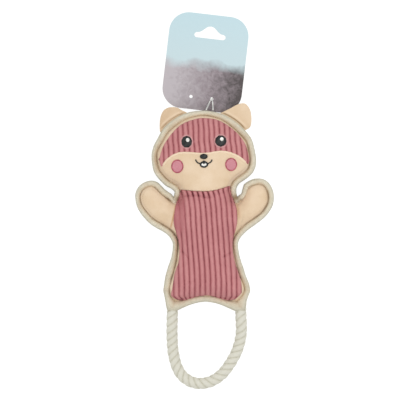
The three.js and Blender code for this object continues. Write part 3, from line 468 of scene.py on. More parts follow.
def canvasMaterial(name, isRim):
    # cotton canvas, plain woven from slubby yarn: matt, with pale and dark threads
    # the real threads are about 0.7 mm apart; drawn at 1.3 mm so that they show
    material, tree = newMaterial(name)
    coordinate = addNode(tree, "ShaderNodeTexCoord")
    place = coordinate.outputs["Object"]
    woven = addNode(tree, "ShaderNodeVectorMath", {
        "operation": "SCALE", "Scale": 1 / 1.3 if isRim else 1 / (1.3 * mm)},  # a rim's UVs are in mm
        _0=coordinate.outputs["UV"] if isRim else place).outputs[0]
    waves = list(addNode(tree, "ShaderNodeSeparateXYZ", _0=woven).outputs)[:2]
    for settings in ({"operation": "MULTIPLY", "1": math.pi}, {"operation": "SINE"}, {"operation": "ABSOLUTE"}):
        waves = [addNode(tree, "ShaderNodeMath", settings, _0=wave).outputs[0] for wave in waves]
    over = addNode(tree, "ShaderNodeTexChecker", {"Scale": 1.0}, Vector=woven)
    weave = addNode(tree, "ShaderNodeMix", {"data_type": "FLOAT"}, _0=over.outputs["Fac"],
                    _2=waves[0], _3=waves[1]).outputs[0]
    slubs, patches = (addNode(tree, "ShaderNodeTexNoise", {
        "Scale": 1 / (size * mm), "Detail": detail, "Roughness": rough}, Vector=place).outputs["Fac"]
        for size, detail, rough in ((2.381, 4.0, 0.62), (16.67, 3.0, 0.5)))
    colour = patternColour(tree, slubs, [(weave, 0.38), (patches, 0.5)], (0.62, 1.35),
                           [(0, "#ccc4b2"), (1, "#e8e2d5")])
    if isRim:  # a ramp across the roll paints shade on its outer and inner sides; tan shade is painted into its inner half in places, and a brown line along its inner edge that is partly a cut edge and partly painted shade in the groove and the crotches
        across = addNode(tree, "ShaderNodeAttribute", {"attribute_name": "across"})
        side = addNode(tree, "ShaderNodeValToRGB", {"stops": [
            (0.02, "#e3e4da"), (0.22, "#f7f7f0"), (0.6, "#fbf7ec"), (0.84, "#f6ecdc"), (0.98, "#e6d6c0")]},
            _0=across.outputs["Fac"])
        colour = addNode(tree, "ShaderNodeMix", {"data_type": "RGBA", "blend_type": "MULTIPLY", "0": 1.0},
                         _6=colour, _7=side.outputs[0]).outputs[2]
        stains = addNode(tree, "ShaderNodeTexNoise", {"Scale": 1 / (9.09 * mm), "Detail": 2.0}, Vector=place)
        stain = addNode(tree, "ShaderNodeMapRange", {"From Min": 0.52, "From Max": 0.7, "To Max": 0.35},
                        Value=stains.outputs["Fac"])
        # painted shade: tan in the inner half and brown along the inner edge; the stain is the canvas's own
        colour = layered(tree, colour, [(stain.outputs[0], 1.0, "#cdb79c"), ("tanned", 0.75, "#bca486"),
                                        ("innerEdge", 0.85, "#85673f")])
    relief = addNode(tree, "ShaderNodeMath", {"operation": "MULTIPLY_ADD", "1": 0.5}, _0=slubs, _2=weave)
    finishMaterial(tree, colour, relief.outputs[0], 0.55, 0.4,
                   {"Roughness": 0.95, "Specular IOR Level": 0.2, "Sheen Weight": 0.15})
    return material


def suedeMaterial(name, dark, light):
    # polyester suede with a brushed nap: matt and soft, slightly patchy where the nap turns
    material, tree = newMaterial(name)
    place = addNode(tree, "ShaderNodeTexCoord").outputs["Object"]
    nap, fibre = (addNode(tree, "ShaderNodeTexNoise", {
        "Scale": 1 / (size * mm), "Detail": detail, "Roughness": rough}, Vector=place).outputs["Fac"]
        for size, detail, rough in ((22.22, 5.0, 0.55), (1.111, 3.0, 0.7)))
    colour = patternColour(tree, nap, [(fibre, 0.3)], (0.42, 0.86), [(0, dark), (1, light)])
    # a brown line beside the rims and along the ears' folds, partly a cut edge and partly painted shade; real top
    # stitching; painted shade of the crease beside the belly patch; painted highlights
    colour = layered(tree, colour, [("cutEdge", 0.85, "#80613b"), ("stitch", 0.6, "#ac8a62"),
                                    ("crease", 0.8, "#b87f4c"), ("shine", 0.7, "#f1dcc2")])
    finishMaterial(tree, colour, fibre, 0.25, 0.3,
                   {"Roughness": 0.92, "Specular IOR Level": 0.2, "Sheen Weight": 0.25})
    return material


def corduroyMaterial():
    # wide-wale cotton corduroy: cut pile that stands in wales, dark down in the grooves and pale on the crowns, partly
    # its own colour and partly painted shade
    material, tree = newMaterial("pinkCorduroy")
    place = addNode(tree, "ShaderNodeTexCoord").outputs["Object"]
    wale = addNode(tree, "ShaderNodeAttribute", {"attribute_name": "wale"}).outputs["Fac"]
    stretched = addNode(tree, "ShaderNodeMapping", {  # tufts of pile, 1.1 mm across the wales and 4.2 mm along them
        "Scale": (1 / (1.111 * mm), 1 / (4.167 * mm), 1 / (4.167 * mm))}, Vector=place)
    pile = addNode(tree, "ShaderNodeTexNoise", {"Scale": 1.0, "Detail": 4.0, "Roughness": 0.65},
                   Vector=stretched.outputs[0]).outputs["Fac"]
    brushed = addNode(tree, "ShaderNodeTexNoise", {"Scale": 1 / (13.33 * mm), "Detail": 3.0}, Vector=place)
    colour = patternColour(tree, wale, [(pile, 0.32), (brushed.outputs["Fac"], 0.3)], (0.3, 1.4),
                           [(0, "#62272d"), (0.5, "#a86468"), (1, "#c98d8d")])
    colour = layered(tree, colour, [("pressed", 1.0, "#d9a9a8")])
    finishMaterial(tree, colour, pile, 0.4, 0.4, {"Roughness": 0.95, "Specular IOR Level": 0.15, "Sheen Weight": 0.35,
                                                  "Sheen Tint": hexColour("#f0b8b8")})
    return material


def threadMaterial(name, dark, light, angle, roughness=0.5):
    # rayon embroidery in satin stitch: threads side by side with a slight shine
    # the real threads are 0.4 mm apart, too fine to show; drawn are bands of shine, 4.4 mm apart
    material, tree = newMaterial(name)
    place = addNode(tree, "ShaderNodeTexCoord").outputs["Object"]
    turned = addNode(tree, "ShaderNodeMapping", {"Rotation": (0, 0, angle)}, Vector=place)
    wave = addNode(tree, "ShaderNodeTexWave", {  # at a scale of 1 its bands are turn / 20 apart
        "Scale": turn / 20 / (4.398 * mm), "Distortion": 0.6, "Detail": 2.0, "Detail Scale": 2.0},
        Vector=turned.outputs[0]).outputs["Fac"]
    colour = patternColour(tree, wave, [], (0, 1), [(0, dark), (1, light)])
    finishMaterial(tree, colour, wave, 0.4, 0.2, {"Roughness": roughness, "Specular IOR Level": 0.35})
    return material


def feltMaterial():
    # pressed felt for the cheeks: matt, with short fibres in all directions
    material, tree = newMaterial("pinkFelt")
    place = addNode(tree, "ShaderNodeTexCoord").outputs["Object"]
    fibre = addNode(tree, "ShaderNodeTexNoise", {
        "Scale": 1 / (1.4286 * mm), "Detail": 5.0, "Roughness": 0.7, "Distortion": 0.6}, Vector=place).outputs["Fac"]
    colour = patternColour(tree, fibre, [], (0, 1), [(0.25, "#bd7a83"), (0.75, "#cf8f98")])
    finishMaterial(tree, colour, fibre, 0.3, 0.3, {"Roughness": 0.95, "Sheen Weight": 0.2})
    return material


def ropeMaterial():
    # soft cotton rope, three strands laid together: matt off-white, with yarns that run round with each strand
    material, tree = newMaterial("cottonRope")
    coordinate = addNode(tree, "ShaderNodeTexCoord")
    strand = addNode(tree, "ShaderNodeAttribute", {"attribute_name": "strand"}).outputs["Fac"]
    yarns = addNode(tree, "ShaderNodeMapping", {  # UVs in mm: yarns 0.45 mm across and 8.3 mm long
        "Scale": (2.2, 0.12, 1)}, Vector=coordinate.outputs["UV"])
    fibre = addNode(tree, "ShaderNodeTexNoise", {"Scale": 1.0, "Detail": 4.0, "Roughness": 0.6},
                    Vector=yarns.outputs[0]).outputs["Fac"]
    patches = addNode(tree, "ShaderNodeTexNoise", {"Scale": 1 / (11.11 * mm), "Detail": 2.0},
                      Vector=coordinate.outputs["Object"]).outputs["Fac"]
    # the strand mark paints shade down between the strands
    colour = patternColour(tree, strand, [(fibre, 0.3), (patches, 0.15)], (0.2, 1.15),
                           [(0, "#8f8a72"), (0.35, "#c4c1af"), (1, "#d6d4c7")])
    finishMaterial(tree, colour, fibre, 0.35, 0.4,
                   {"Roughness": 0.95, "Specular IOR Level": 0.2, "Sheen Weight": 0.2})
    return material


def cardMaterial():
    # coated card, offset printed with plain soft-edged areas; its back is bare board
    material, tree = newMaterial("printedCard")
    place = addNode(tree, "ShaderNodeTexCoord").outputs["Object"]
    local = addNode(tree, "ShaderNodeMapping", {  # mm along the card's sides
        "vector_type": "TEXTURE", "Location": (-5.7 * mm, 141.5 * mm, 0), "Rotation": (0, 0, math.radians(-6.7)),
        "Scale": (mm, mm, mm)}, Vector=place).outputs[0]
    along, up = list(addNode(tree, "ShaderNodeSeparateXYZ", _0=local).outputs)[:2]
    large, small, grain = (addNode(tree, "ShaderNodeTexNoise", {
        "Scale": 1 / size, "Detail": detail, "Roughness": rough, "Distortion": bent}, Vector=local).outputs["Fac"]
        for size, detail, rough, bent in ((22.22, 3.0, 0.5, 0), (4.545, 5.0, 0.6, 0.8), (0.5, 3.0, 0.5, 0)))
    wavy = addNode(tree, "ShaderNodeMath", {"operation": "MULTIPLY_ADD", "1": 26.0}, _0=large, _2=up)
    low = addNode(tree, "ShaderNodeMapRange", {"From Min": 52.0, "From Max": 64.0, "To Min": 1.0, "To Max": 0.0},
                  Value=wavy.outputs[0])
    greys = patternColour(tree, along, [(small, 60.0)], (0, 68), [(0, "#b4adb1"), (0.55, "#8d8287"), (1, "#463e3f")])
    sky = patternColour(tree, up, [], (0, 97), [(0, "#c3d1d3"), (1, "#b9d2d9")])
    printed = addNode(tree, "ShaderNodeMix", {"data_type": "RGBA"}, _0=low.outputs[0], _6=sky, _7=greys)
    height = addNode(tree, "ShaderNodeSeparateXYZ", _0=place).outputs[2]
    isFront = addNode(tree, "ShaderNodeMath", {"operation": "GREATER_THAN", "1": 2.59 * mm}, _0=height)
    colour = addNode(tree, "ShaderNodeMix", {"data_type": "RGBA", "6": "#dedbd2"}, _0=isFront.outputs[0],
                     _7=printed.outputs[2]).outputs[2]
    finishMaterial(tree, colour, grain, 0.05, 0.2, {"Roughness": 0.42, "Specular IOR Level": 0.35})
    return material


def vinylMaterial():
    # soft moulded vinyl for the squeaker: milky, with a satin surface and faint mould texture
    material, tree = newMaterial("mouldedVinyl")
    place = addNode(tree, "ShaderNodeTexCoord").outputs["Object"]
    cloud = addNode(tree, "ShaderNodeTexNoise", {"Scale": 1 / (8.333 * mm), "Detail": 3.0}, Vector=place).outputs["Fac"]
    colour = patternColour(tree, cloud, [], (0, 1), [(0, "#dad7cb"), (1, "#ece9df")])
    finishMaterial(tree, colour, cloud, 0.1, 0.2, {"Roughness": 0.45})
    return material


canvasRim = canvasMaterial("wovenCanvasRim", True)
canvasBack = canvasMaterial("wovenCanvasBack", False)
suedeCover = suedeMaterial("suedeCover", "#d5bb9a", "#e3cdb2")
# painted shade: a darker copy of the suede for the left ear
shadedSuedeEar = suedeMaterial("shadedSuedeEar", "#c6a987", "#d6bd9f")
corduroy = corduroyMaterial()
cottonRope = ropeMaterial()
printedCard = cardMaterial()
mouldedVinyl = vinylMaterial()
nylonTie = threadMaterial("twistedNylon", "#bfc0bc", "#e4e4e0", 0.7, roughness=0.4)
threads = {  # material and slot
    "black": (threadMaterial("blackSatinStitch", "#0f110f", "#232624", 0.5), "black_thread"),
    "white": (threadMaterial("whiteSatinStitch", "#d9d8d0", "#f6f5f0", 1.2), "white_thread"),
    "pink": (threadMaterial("pinkSatinStitch", "#9d4955", "#bb626f", 0.9, roughness=0.6), "pink_thread"),
    "felt": (feltMaterial(), "pink_thread"),
}
print("materials made")

buildStage()
print("camera, lights and floor made")


# the rope loop
ropeLoop = {
    "diameter": 11.0,
    "lay": 21.6,  # mm for one turn of a strand
    "strands": 3,
    "route": [
        (-33.5, -60.9, 11.5), (-33.6, -66.5, 11.5), (-33.7, -72.1, 11.5), (-33.9, -80, 10.2), (-33.8, -89, 8),
        (-33.3, -98.5, 6.3), (-31.9, -108, 5.7), (-29.1, -118, 5.6), (-23.8, -127, 5.6), (-14.9, -133.4, 5.6),
        (-4, -135.2, 5.6), (7.4, -132.3, 5.6), (17.3, -125, 5.6), (25.1, -114.8, 5.6), (31.2, -103.6, 5.8),
        (34.7, -93, 6.8), (36.2, -83, 8.9), (36.2, -75.5, 10.8), (35.9, -70.5, 11.4), (35.7, -65.5, 11.5),
        (35.7, -60.9, 11.5)],
    "tailLength": 14,  # of each sewn-in end
    "tailInLoop": 5.2,  # how much of it is a rounded end inside the loop's first strands
}


def strandCrest(angle, run):  # wide strands with narrow grooves between them
    phase = ropeLoop["strands"] * (angle - turn * run / ropeLoop["lay"])
    return np.abs(np.cos(phase / 2)) ** 0.42


def buildRope():
    line = evenLine(smoothLine(ropeLoop["route"], 400), 260)
    length = lineLength(line)

    def place(u, v):
        angle, run = u * turn, v * length
        crest = strandCrest(angle, run)
        steps = np.stack([run, np.cos(angle) * 4, np.sin(angle) * 4], axis=1)
        reach = ropeLoop["diameter"] / 2 * (0.84 + 0.21 * crest) + 0.14 * wander(steps, 2.4, 3.0)
        ends = np.clip(np.minimum(v, 1 - v) * length / 0.8, 0, 1)
        points = tube(line, u, v, reach * ends)
        points[:, 2] = np.maximum(points[:, 2], 0.02)
        return points, {"strand": crest}

    piece = gridSkin("ropeLoop", 54, 260, place, uvSize=(34, length))
    dress(piece, cottonRope, "rope", ["rope_loop"], body="rope")


buildRope()
print("rope made")


# the corduroy, and the lines that its patches follow
cordCloth = {
    "pitch": 5.28,
    "maskPitch": 5.25,
    "base": 0.6,  # mm from the pad to the bottom of a groove
    "rib": 1.7,
    "thickness": 0.7,
    "turnedIn": 0.9,  # how far in from the trimmed edge it comes up out of the seam
    "bellyLean": [(-41, 5.0), (-28, 4.9), (-13, 4.1), (5.6, 2.6), (29, 0.9), (43.5, -0.1), (53.5, -1.6), (60, -3.4)],
    "maskLean": [(84, 0.6), (103, -0.5), (110, -1.5), (122, -1.9), (130, -2.6)],
    "bellyLeft": [(-51.1, -24.7), (-49.1, -30.8), (-45.2, -34.2), (-38, -32.9), (-24.2, -30.8), (-12.1, -26.9),
                  (2.4, -25.8), (16.7, -29.0), (29.3, -31.6), (46.8, -29.2), (59.6, -24.9), (66, -23.6)],
    "bellyRight": [(-51.1, 25.5), (-50.5, 28.8), (-44.4, 34.7), (-41.8, 36.1), (-31.3, 35.2), (-18.2, 31.1),
                   (-6.8, 28.1), (3.5, 26.8), (14.8, 28.4), (27.3, 31.2), (39.6, 31.2), (50.9, 27.8), (59.6, 24.7),
                   (66, 23.6)],
    "bellyTop": [(-25, 61.4), (-12, 60.1), (0, 59.7), (12, 61.3), (25, 65.6)],
    "bellyBottom": [(-34.5, -50.9), (-24.7, -52.0), (-14.6, -49.5), (-4.1, -46.7), (6.2, -46.3), (16.7, -49.2),
                    (22.7, -51.9), (34.8, -50.3)],
    "maskTop": [(-46.6, 91.9), (-41.9, 105.6), (-31.8, 119.5), (-22.2, 127.3), (-9.6, 131.7), (-0.5, 132.5),
                (12.6, 130.5), (24.1, 124.0), (33.4, 115.8), (40.1, 106.2), (42.9, 97.0), (43.9, 90.5)],
    "maskBottom": [(-46.6, 91.2), (-45.9, 87.6), (-44.7, 84.5), (-42.4, 86.8), (-39.6, 90.5), (-33.8, 95.1),
                   (-26.8, 97.8), (-19.7, 98.4), (-10.6, 97.8), (-3.5, 97.3), (3.2, 97.8), (12.6, 99.3), (19.7, 99.3),
                   (26.5, 97.5), (33.4, 94.6), (40.4, 88.9), (42.4, 86.9), (43.2, 87.2), (43.9, 89.8)],
    "maskX": (-47.6, 44.8),
    "neckGatherShades": [(-17.4, 0.4), (-12.1, 0.8), (-6.4, 0.6), (-1.5, 1.0), (4.1, 0.6), (10.1, 0.3)],  # x, strength of their painted shade
}


def follow(table, value):  # reads a smoothed line of (place, value) pairs
    line = smoothLine(sorted(table), 12 * len(table))
    return np.interp(value, line[:, 0], line[:, 1])


# the stuffed pads, suede in front and canvas behind, with the marks that their rims share
pads = {
    "puckerHeight": 0.35,  # mm, the small folds where the cover is sewn down
    "puckerSpacing": 5.0,
    "underPatch": 2.8,  # mm by which the suede lies lower under the ribbed patch
    "headBend": (56.5, 64.5),  # y at the two ends of the span where the head's cover meets the torso's
    "armBend": (30.5, 39.0),
    "headMiddle": (-2.5, 86.9),
    "footCorner": (-2.5, -1),  # from the start of the torso's side
    "shoulder": [(34.0, 15.8), (35.5, 17.8), (37.0, 50.6), (34.0, 53.6), (30.5, 54.6), (26.6, 61.6)],
    "armStart": [(27.5, 18.1), (34.5, 15.6)],
    "armEnd": [(33.5, 51.6), (27.5, 50.6)],
    "armMiddle": (0.42, 0.74),  # shares of the way from the armpit to the tip
}
edgeShadeLines = {  # where a brown line is painted beside the rim, partly a cut edge and partly painted shade in the groove between the rim and the pad: x, y, reach, strength
    "plain": 0.05,
    "spots": [
        (-66, 56, 10, 0.12), (-64, 46, 9, 0.2), (-58, 37, 9, 0.35), (-50, 31, 9, 0.55), (-42, 26, 9, 0.7),
        (-34, 20, 9, 0.75), (-27, 5, 11, 0.85), (-30, -13, 10, 0.7), (-35, -29, 9, 1.0), (-36.5, -42, 7.5, 1.0),
        (-45, 58, 8, 0.3), (-37, 51, 6, 1.0), (60, 64, 7, 0.4), (62, 55, 9, 0.8), (60, 43, 9, 0.9),
        (52, 34, 9, 0.7), (44, 28, 9, 0.5), (35, 18, 9, 0.5), (28, 4, 10, 0.4), (33, -14, 9, 0.25),
        (45, 59, 8, 0.4), (40, 53, 5, 0.6), (44, 88, 12, 0.85), (43, 101, 9, 0.75), (36, 114, 9, 0.6),
        (25, 127, 8, 0.45), (7, 134.5, 10, 0.15), (-36, 117, 9, 0.3), (-43, 104, 10, 0.35), (-45, 90, 9, 0.35),
        (-42, 77, 9, 0.15), (36, 75, 9, 0.35), (27, 66, 7, 0.35)],
    # painted shade in the gaps between the head's rim and the arms' rims
    "crotch": [(-28.2, 51.5, 3.2, 0.75), (30.4, 52.8, 3.6, 1.0)],
}
innerTanShadeSpots = [  # where tan shade is painted into the inner half of the canvas rim: x, y, reach, strength
    (-35, 129, 12, 0.5), (36, 128, 13, 0.5), (-51, 92, 16, 1.0), (-30, 2, 15, 1.0), (31, 2, 15, 0.6),
    (-64, 52, 16, 0.35), (41, -26, 13, 0.55), (36, -57, 9, 0.35), (-36, -57, 9, 0.25)]
topStitch = {  # a second row of stitching on the suede
    "inset": 2.4,
    "width": 0.42,
    "pitch": 2.4,
    "spots": [(-66, 54, 12, 0.8), (-58, 38, 12, 0.8), (-48, 31, 10, 0.6), (63, 50, 12, 0.35), (56, 38, 12, 0.4),
              (-43, 76, 10, 0.5), (-33, 69, 8, 0.5), (36, 75, 10, 0.5), (27, 67, 8, 0.4)],
}
neckBend = ("torso", "head", *((0, y * mm, seamZ * mm) for y in pads["headBend"]))


def armBend(name):
    side = arms[name]["side"]
    return ("torso", "arm_" + name, *((side * x * mm, 0, seamZ * mm) for x in pads["armBend"]))


def cutEdgeShade(x, y):
    return spotted(edgeShadeLines["spots"], x, y, edgeShadeLines["plain"])


def bellyTopAt(x):
    return follow(cordCloth["bellyTop"], np.clip(x, -25, 25))


def corduroyCreaseShade(x, y):  # painted shade of the crease where the suede turns down beside the belly patch at the chest
    line = np.interp(y, (22, 30.6, 46), (-35.3, -33.1, -29.8))
    onLeft = bell((x - line) / 0.75) * smoothStep(20, 25, y) * smoothStep(48, 43, y)
    right = follow(cordCloth["bellyRight"], y)
    return onLeft + 0.5 * bell((x - right - 1.7) / 1.8) * smoothStep(28, 37, y) * smoothStep(53, 47, y)


def sewnFolds(x, y, distance):
    folds = bell((distance - 8.5) / 2.6) * wander(flatPoints(x, y), pads["puckerSpacing"], 4.0)
    return pads["puckerHeight"] * folds + 0.35 * wander(flatPoints(x, y), 26, 9.0)


def coverHeight(form, x, y):
    distance = edgeDistance(x, y)
    return seamZ + stuffedHeight(form, "front", x, y, distance) + sewnFolds(x, y, distance)


def muzzleRise(x, y, distance):  # the muzzle lies on top of the pink mask
    below = follow(cordCloth["maskBottom"], np.clip(x, -45, 43)) - y
    chin = smoothStep(46, 66, y) * smoothStep(-0.6, 0.4, y - bellyTopAt(x))
    rise = 2.3 * smoothStep(-1.2, 0.3, below) * smoothStep(6.0, 10.5, distance) * chin
    inMask = np.minimum(-below, follow(cordCloth["maskTop"], np.clip(x, -46, 43)) - y)
    return rise - 1.6 * smoothStep(2.0, 4.0, inMask) * (np.abs(x + 1.5) < 44)


def chinRise(x, y):  # the chin bulges over the seam to the belly
    above = y - bellyTopAt(x)
    return 0.8 * smoothStep(-0.6, 0.4, above) * bell(np.clip(above, 0, None) / 16) * (
        1 - smoothStep(21, 27, np.abs(x))) * smoothStep(80, 70, y)


def faceForm(x, y, distance):
    inside = smoothStep(0.4, 2.4, bellyTopAt(x) - y) * smoothStep(26, 23.5, np.abs(x))  # of the belly patch
    return sewnFolds(x, y, distance) + muzzleRise(x, y, distance) + chinRise(x, y) - pads["underPatch"] * inside


def bellyForm(x, y, distance):
    inside = np.minimum(np.minimum(x - follow(cordCloth["bellyLeft"], y), follow(cordCloth["bellyRight"], y) - x),
                        np.minimum(y - follow(cordCloth["bellyBottom"], x), bellyTopAt(x) - y))
    corner = np.exp(-((np.abs(x) - 32) ** 2 + (y + 50.5) ** 2) / 10)  # the suede reaches into the foot's corner
    return sewnFolds(x, y, distance) - pads["underPatch"] * smoothStep(1.0, 3.2, inside) + 1.8 * corner


def padPiece(name, form, outline, middle, grid, bump):
    outline = evenLine(np.vstack([outline, outline[:1]]), 2 * grid[0])
    length = lineLength(outline)

    def place(u, v):
        x, y, side, *_ = cushion(outline, middle, u, v, 1.35)
        distance = edgeDistance(x, y)
        isFront = side >= 0
        up = stuffedHeight(form, "front", x, y, distance) + bump(x, y, distance)
        down = np.minimum(stuffedHeight(form, "back", x, y, distance), seamZ)
        z = np.where(np.abs(side) < 1e-6, seamZ, seamZ + np.where(isFront, up, -down))
        inward = distance - rimWidthAt(x, y)
        # a brown line beside the rim: partly a cut edge, partly painted shade in the groove
        shade = cutEdgeShade(x, y)
        edgeShade = bell(np.clip(inward - 0.15, 0, None) / (0.45 + 0.75 * shade ** 2)) * shade
        dashes = 0.62 + 0.38 * np.sign(np.cos(turn * u * length / topStitch["pitch"]))
        stitches = bell((inward - topStitch["inset"]) / topStitch["width"]) * spotted(topStitch["spots"], x, y)
        return np.stack([x, y, z], axis=1), {"cutEdge": edgeShade, "stitch": stitches * dashes * isFront,
                                             "crease": corduroyCreaseShade(x, y) * (distance > 6)}

    return gridSkin(name, *grid, place)


def insideLine(points, distance):
    return np.array(points, float) + leftNormals(points) * distance


def buildPads():
    covers = (suedeCover, canvasBack)
    piece = padPiece("headPad", "head", insideLine(headLine(), rimTuck), pads["headMiddle"], (380, 124), faceForm)
    dress(piece, covers, "suede", ["face_panel", "head_stuffing", "head_back_panel"], between=neckBend, fill=0.7)

    side, hem = insideLine(sideLine(), rimTuck), insideLine(hemLine(), rimTuck)
    half = [*hem[20:], side[0] + pads["footCorner"], *side[2:-6], *pads["shoulder"]]
    outline = evenLine(np.array([*half, *mirrored(half)]), 300)
    piece = padPiece("torsoPad", "body", outline, (0, 0), (300, 84), bellyForm)
    dress(piece, covers, "suede", ["body_front_panel", "body_stuffing", "body_back_panel"], body="torso", fill=0.7)

    for name in ("right", "left"):
        arm = arms[name]
        inner = insideLine(armLine(arm)[1:-1], rimTuck)
        outline = evenLine(smoothLine([*pads["armStart"], *inner[8:-6], *pads["armEnd"]], 400), 240)
        middle = [mix(torso[start], end, share) for start, end, share in
                  zip(("rootX", "armpitY"), arm["tip"], pads["armMiddle"])]
        piece = padPiece("armPad_" + name, "arm", outline * (arm["side"], 1), (middle[0] * arm["side"], middle[1]),
                         (240, 84), sewnFolds)
        dress(piece, covers, "suede", ["arm_" + name + part for part in ("_front_panel", "_stuffing", "_back_panel")],
              between=armBend(name), fill=0.6)


buildPads()
print("pads made")


# the canvas rims, and the hem that the rope comes out of
rims = {
    "spacing": 1.1,
    "sides": 28,
    "hemLine": [(0, -52.2), (7, -53.0), (13.2, -54.7), (19, -56.8), (24.4, -59.1), (28.9, -61.4)],
    "footLine": {1: [(34, -62.3), (39.2, -61.6), (40.8, -57.2), (41.3, -51.5), (42.9, -45), (43.4, -39)],
                 -1: [(33, -62.3), (37.9, -61.6), (39.6, -57.2), (40.6, -51.5), (41.7, -45), (42.3, -39)]},
    "crotch": {1: [(36.4, 57.6), (34.6, 55.9), (32.6, 54.6), (30.8, 52.6), (29.0, 49.4)],
               -1: [(33.4, 55.6), (31.8, 52.8), (29.9, 49.8), (27.8, 47.2)]},
    "crotchFrom": {1: 37, -1: 34.5},  # x inside which the crotch's line takes over from the arm's
    "headFoot": [(34.2, 46.8), (33.0, 51.0), (31.6, 55.6), (30.8, 59.6)],
    # where a rim changes: from and to in |x| and y, then its width, half-height and the height of its middle
    "headZones": [((-1, 0), (62, 51), 5.0, 4.0, seamZ)],
    "armZones": [((38, 33), (58, 51), 5.2, 4.0, seamZ)],
    "torsoZones": [((26, 14), (-40, -50), 6.8, 4.4, seamZ),  # the hem's middle
                   ((18, 30), (-46, -57), 11.2, 6.9, 12.2)],  # the feet, wrapped round the rope's ends
}


def rimForm(zones, x, y):
    form = (rimWidthAt(x, y), rimHalfHeight, seamZ)
    for spanX, spanY, *changed in zones:
        weight = smoothStep(*spanX, np.abs(x)) * smoothStep(*spanY, y)
        form = [mix(usual, value, weight) for usual, value in zip(form, changed)]
    return form


def rimPiece(name, line, seed, zones, taper=2.6):
    # a soft canvas roll inside an edge line that is walked with the toy on its left
    length = lineLength(line)
    count = int(length / rims["spacing"])
    line = evenLine(line, count)

    def place(u, v):
        at, normal = readAlong(v, line, leftNormals(line))
        width, halfHeight, middleZ = rimForm(zones, *at.T)
        run, angle = v * length, u * turn
        ends = quarterRound(np.minimum(run, length - run) / taper)
        steps = np.stack([run, np.cos(angle) * 6, np.sin(angle) * 6], axis=1)
        soft = 0.5 * wander(steps, 11, seed) + 0.24 * wander(steps, 3.4, seed + 7)
        across = width / 2 * (1 + squarer(np.cos(angle), 0.86) * ends) + soft * np.cos(angle) * ends * 0.6
        z = middleZ + (halfHeight + soft) * squarer(np.sin(angle), 0.9) * ends
        x, y = (at + normal * across[:, None]).T
        # the inner edge's brown line is partly a cut edge and partly painted shade, darkest as painted shade in the
        # crotches
        inner = smoothStep(width - 1.0, width - 0.1, across) * cutEdgeShade(x, y)
        return np.stack([x, y, z], axis=1), {
            "innerEdge": np.maximum(inner, spotted(edgeShadeLines["crotch"], x, y)), "across": across / width,
            "tanned": spotted(innerTanShadeSpots, x, y) * smoothStep(0.15, 0.7, across / width)}

    return gridSkin(name, rims["sides"], count, place, uvSize=(2.4 * (rimWidth + rimHalfHeight), length))


def roundedJoin(first, second, gap):  # joins two lines with a soft corner between their ends
    a = first[np.linalg.norm(first - first[-1], axis=1) > gap]
    b = second[np.linalg.norm(second - second[0], axis=1) > gap]
    t = np.linspace(0, 1, 14)[1:-1, None]
    corner = (first[-1] + second[0]) / 2
    bend = (1 - t) ** 2 * a[-1] + 2 * t * (1 - t) * corner + t * t * b[0]
    return np.vstack([a, bend, b]), len(a) + 6


def buildRims():
    line = headLine()
    low = np.array(rims["headFoot"])
    line = evenLine(np.vstack([low, line[line[:, 1] > torso["neckY"]], mirrored(low)]), 90)
    piece = rimPiece("headRim", evenLine(smoothLine(line, 500), 400), 1.0, rims["headZones"], taper=4.0)
    dress(piece, canvasRim, "canvas", ["head_band"], between=neckBend, fill=0.7)

    lowers = {}
    for name, side in (("left", -1), ("right", 1)):
        low = settled(smoothLine([*rims["hemLine"], *rims["footLine"][side], torso["thigh"], torso["waist"],
                                  (torso["rootX"], torso["armpitY"])], 300), side)
        arm = armLine(arms[name])
        arm = arm[(arm[:, 1] <= 30) | (arm[:, 0] >= rims["crotchFrom"][side])]
        arm = np.vstack([arm[:-2], smoothLine([arm[-3], *rims["crotch"][side]], 40)[1:]])
        joined, corner = roundedJoin(low, arm, 7.0)
        even = evenLine(joined, 800)
        split = int(np.argmin(np.linalg.norm(even - joined[corner], axis=1)))
        lowers[side], upper = even[:split + 14], even[split - 12:]  # they overlap a little in the armpit
        piece = rimPiece("armRim_" + name, upper if side > 0 else mirrored(upper), 21.0 + side, rims["armZones"])
        dress(piece, canvasRim, "canvas", ["arm_" + name + "_band", "shoulder_band_" + name],
              between=armBend(name), fill=0.7)
    loop = np.vstack([mirrored(lowers[-1]), lowers[1][1:]])
    piece = rimPiece("torsoRim", loop, 11.0, rims["torsoZones"])
    dress(piece, canvasRim, "canvas", ["side_band_left", "side_band_right", "hem_band", "rope_sleeve_left",
                                       "rope_sleeve_right"], body="torso", fill=0.7)


buildRims()
print("rims made")


# the rope's ends, sewn into the hem
def buildTails():
    for name, (x0, y0, z0) in (("left", ropeLoop["route"][0]), ("right", ropeLoop["route"][-1])):
        def place(u, v):
            angle, run = u * turn, v * ropeLoop["tailLength"] - ropeLoop["tailInLoop"]
            crest = strandCrest(angle, run - 1.3)
            reach = ropeLoop["diameter"] / 2 * (0.82 + 0.2 * crest)
            reach = reach * mix(1, 0.72, smoothStep(1, 8.7, run)) * mix(1, 0.96, run < 0)  # slimmer in the hem
            ball = np.sqrt(1 - np.clip(-run / ropeLoop["tailInLoop"], 0, 1) ** 2)
            reach = reach * ball * np.clip((1 - v) * 20, 0, 1) ** 0.5
            return np.stack([x0 + np.cos(angle) * reach, y0 + run, z0 + np.sin(angle) * reach], axis=1), {
                "strand": crest}

        piece = gridSkin("ropeTail_" + name, 42, 44, place, uvSize=(34, ropeLoop["tailLength"]))
        dress(piece, cottonRope, "rope", ["rope_tail_" + name], body="torso")


buildTails()


# the corduroy patches
def waleProfile(wale):  # 0 down in a groove, 1 along a crown
    return np.abs(np.sin(math.pi * wale)) ** 0.5


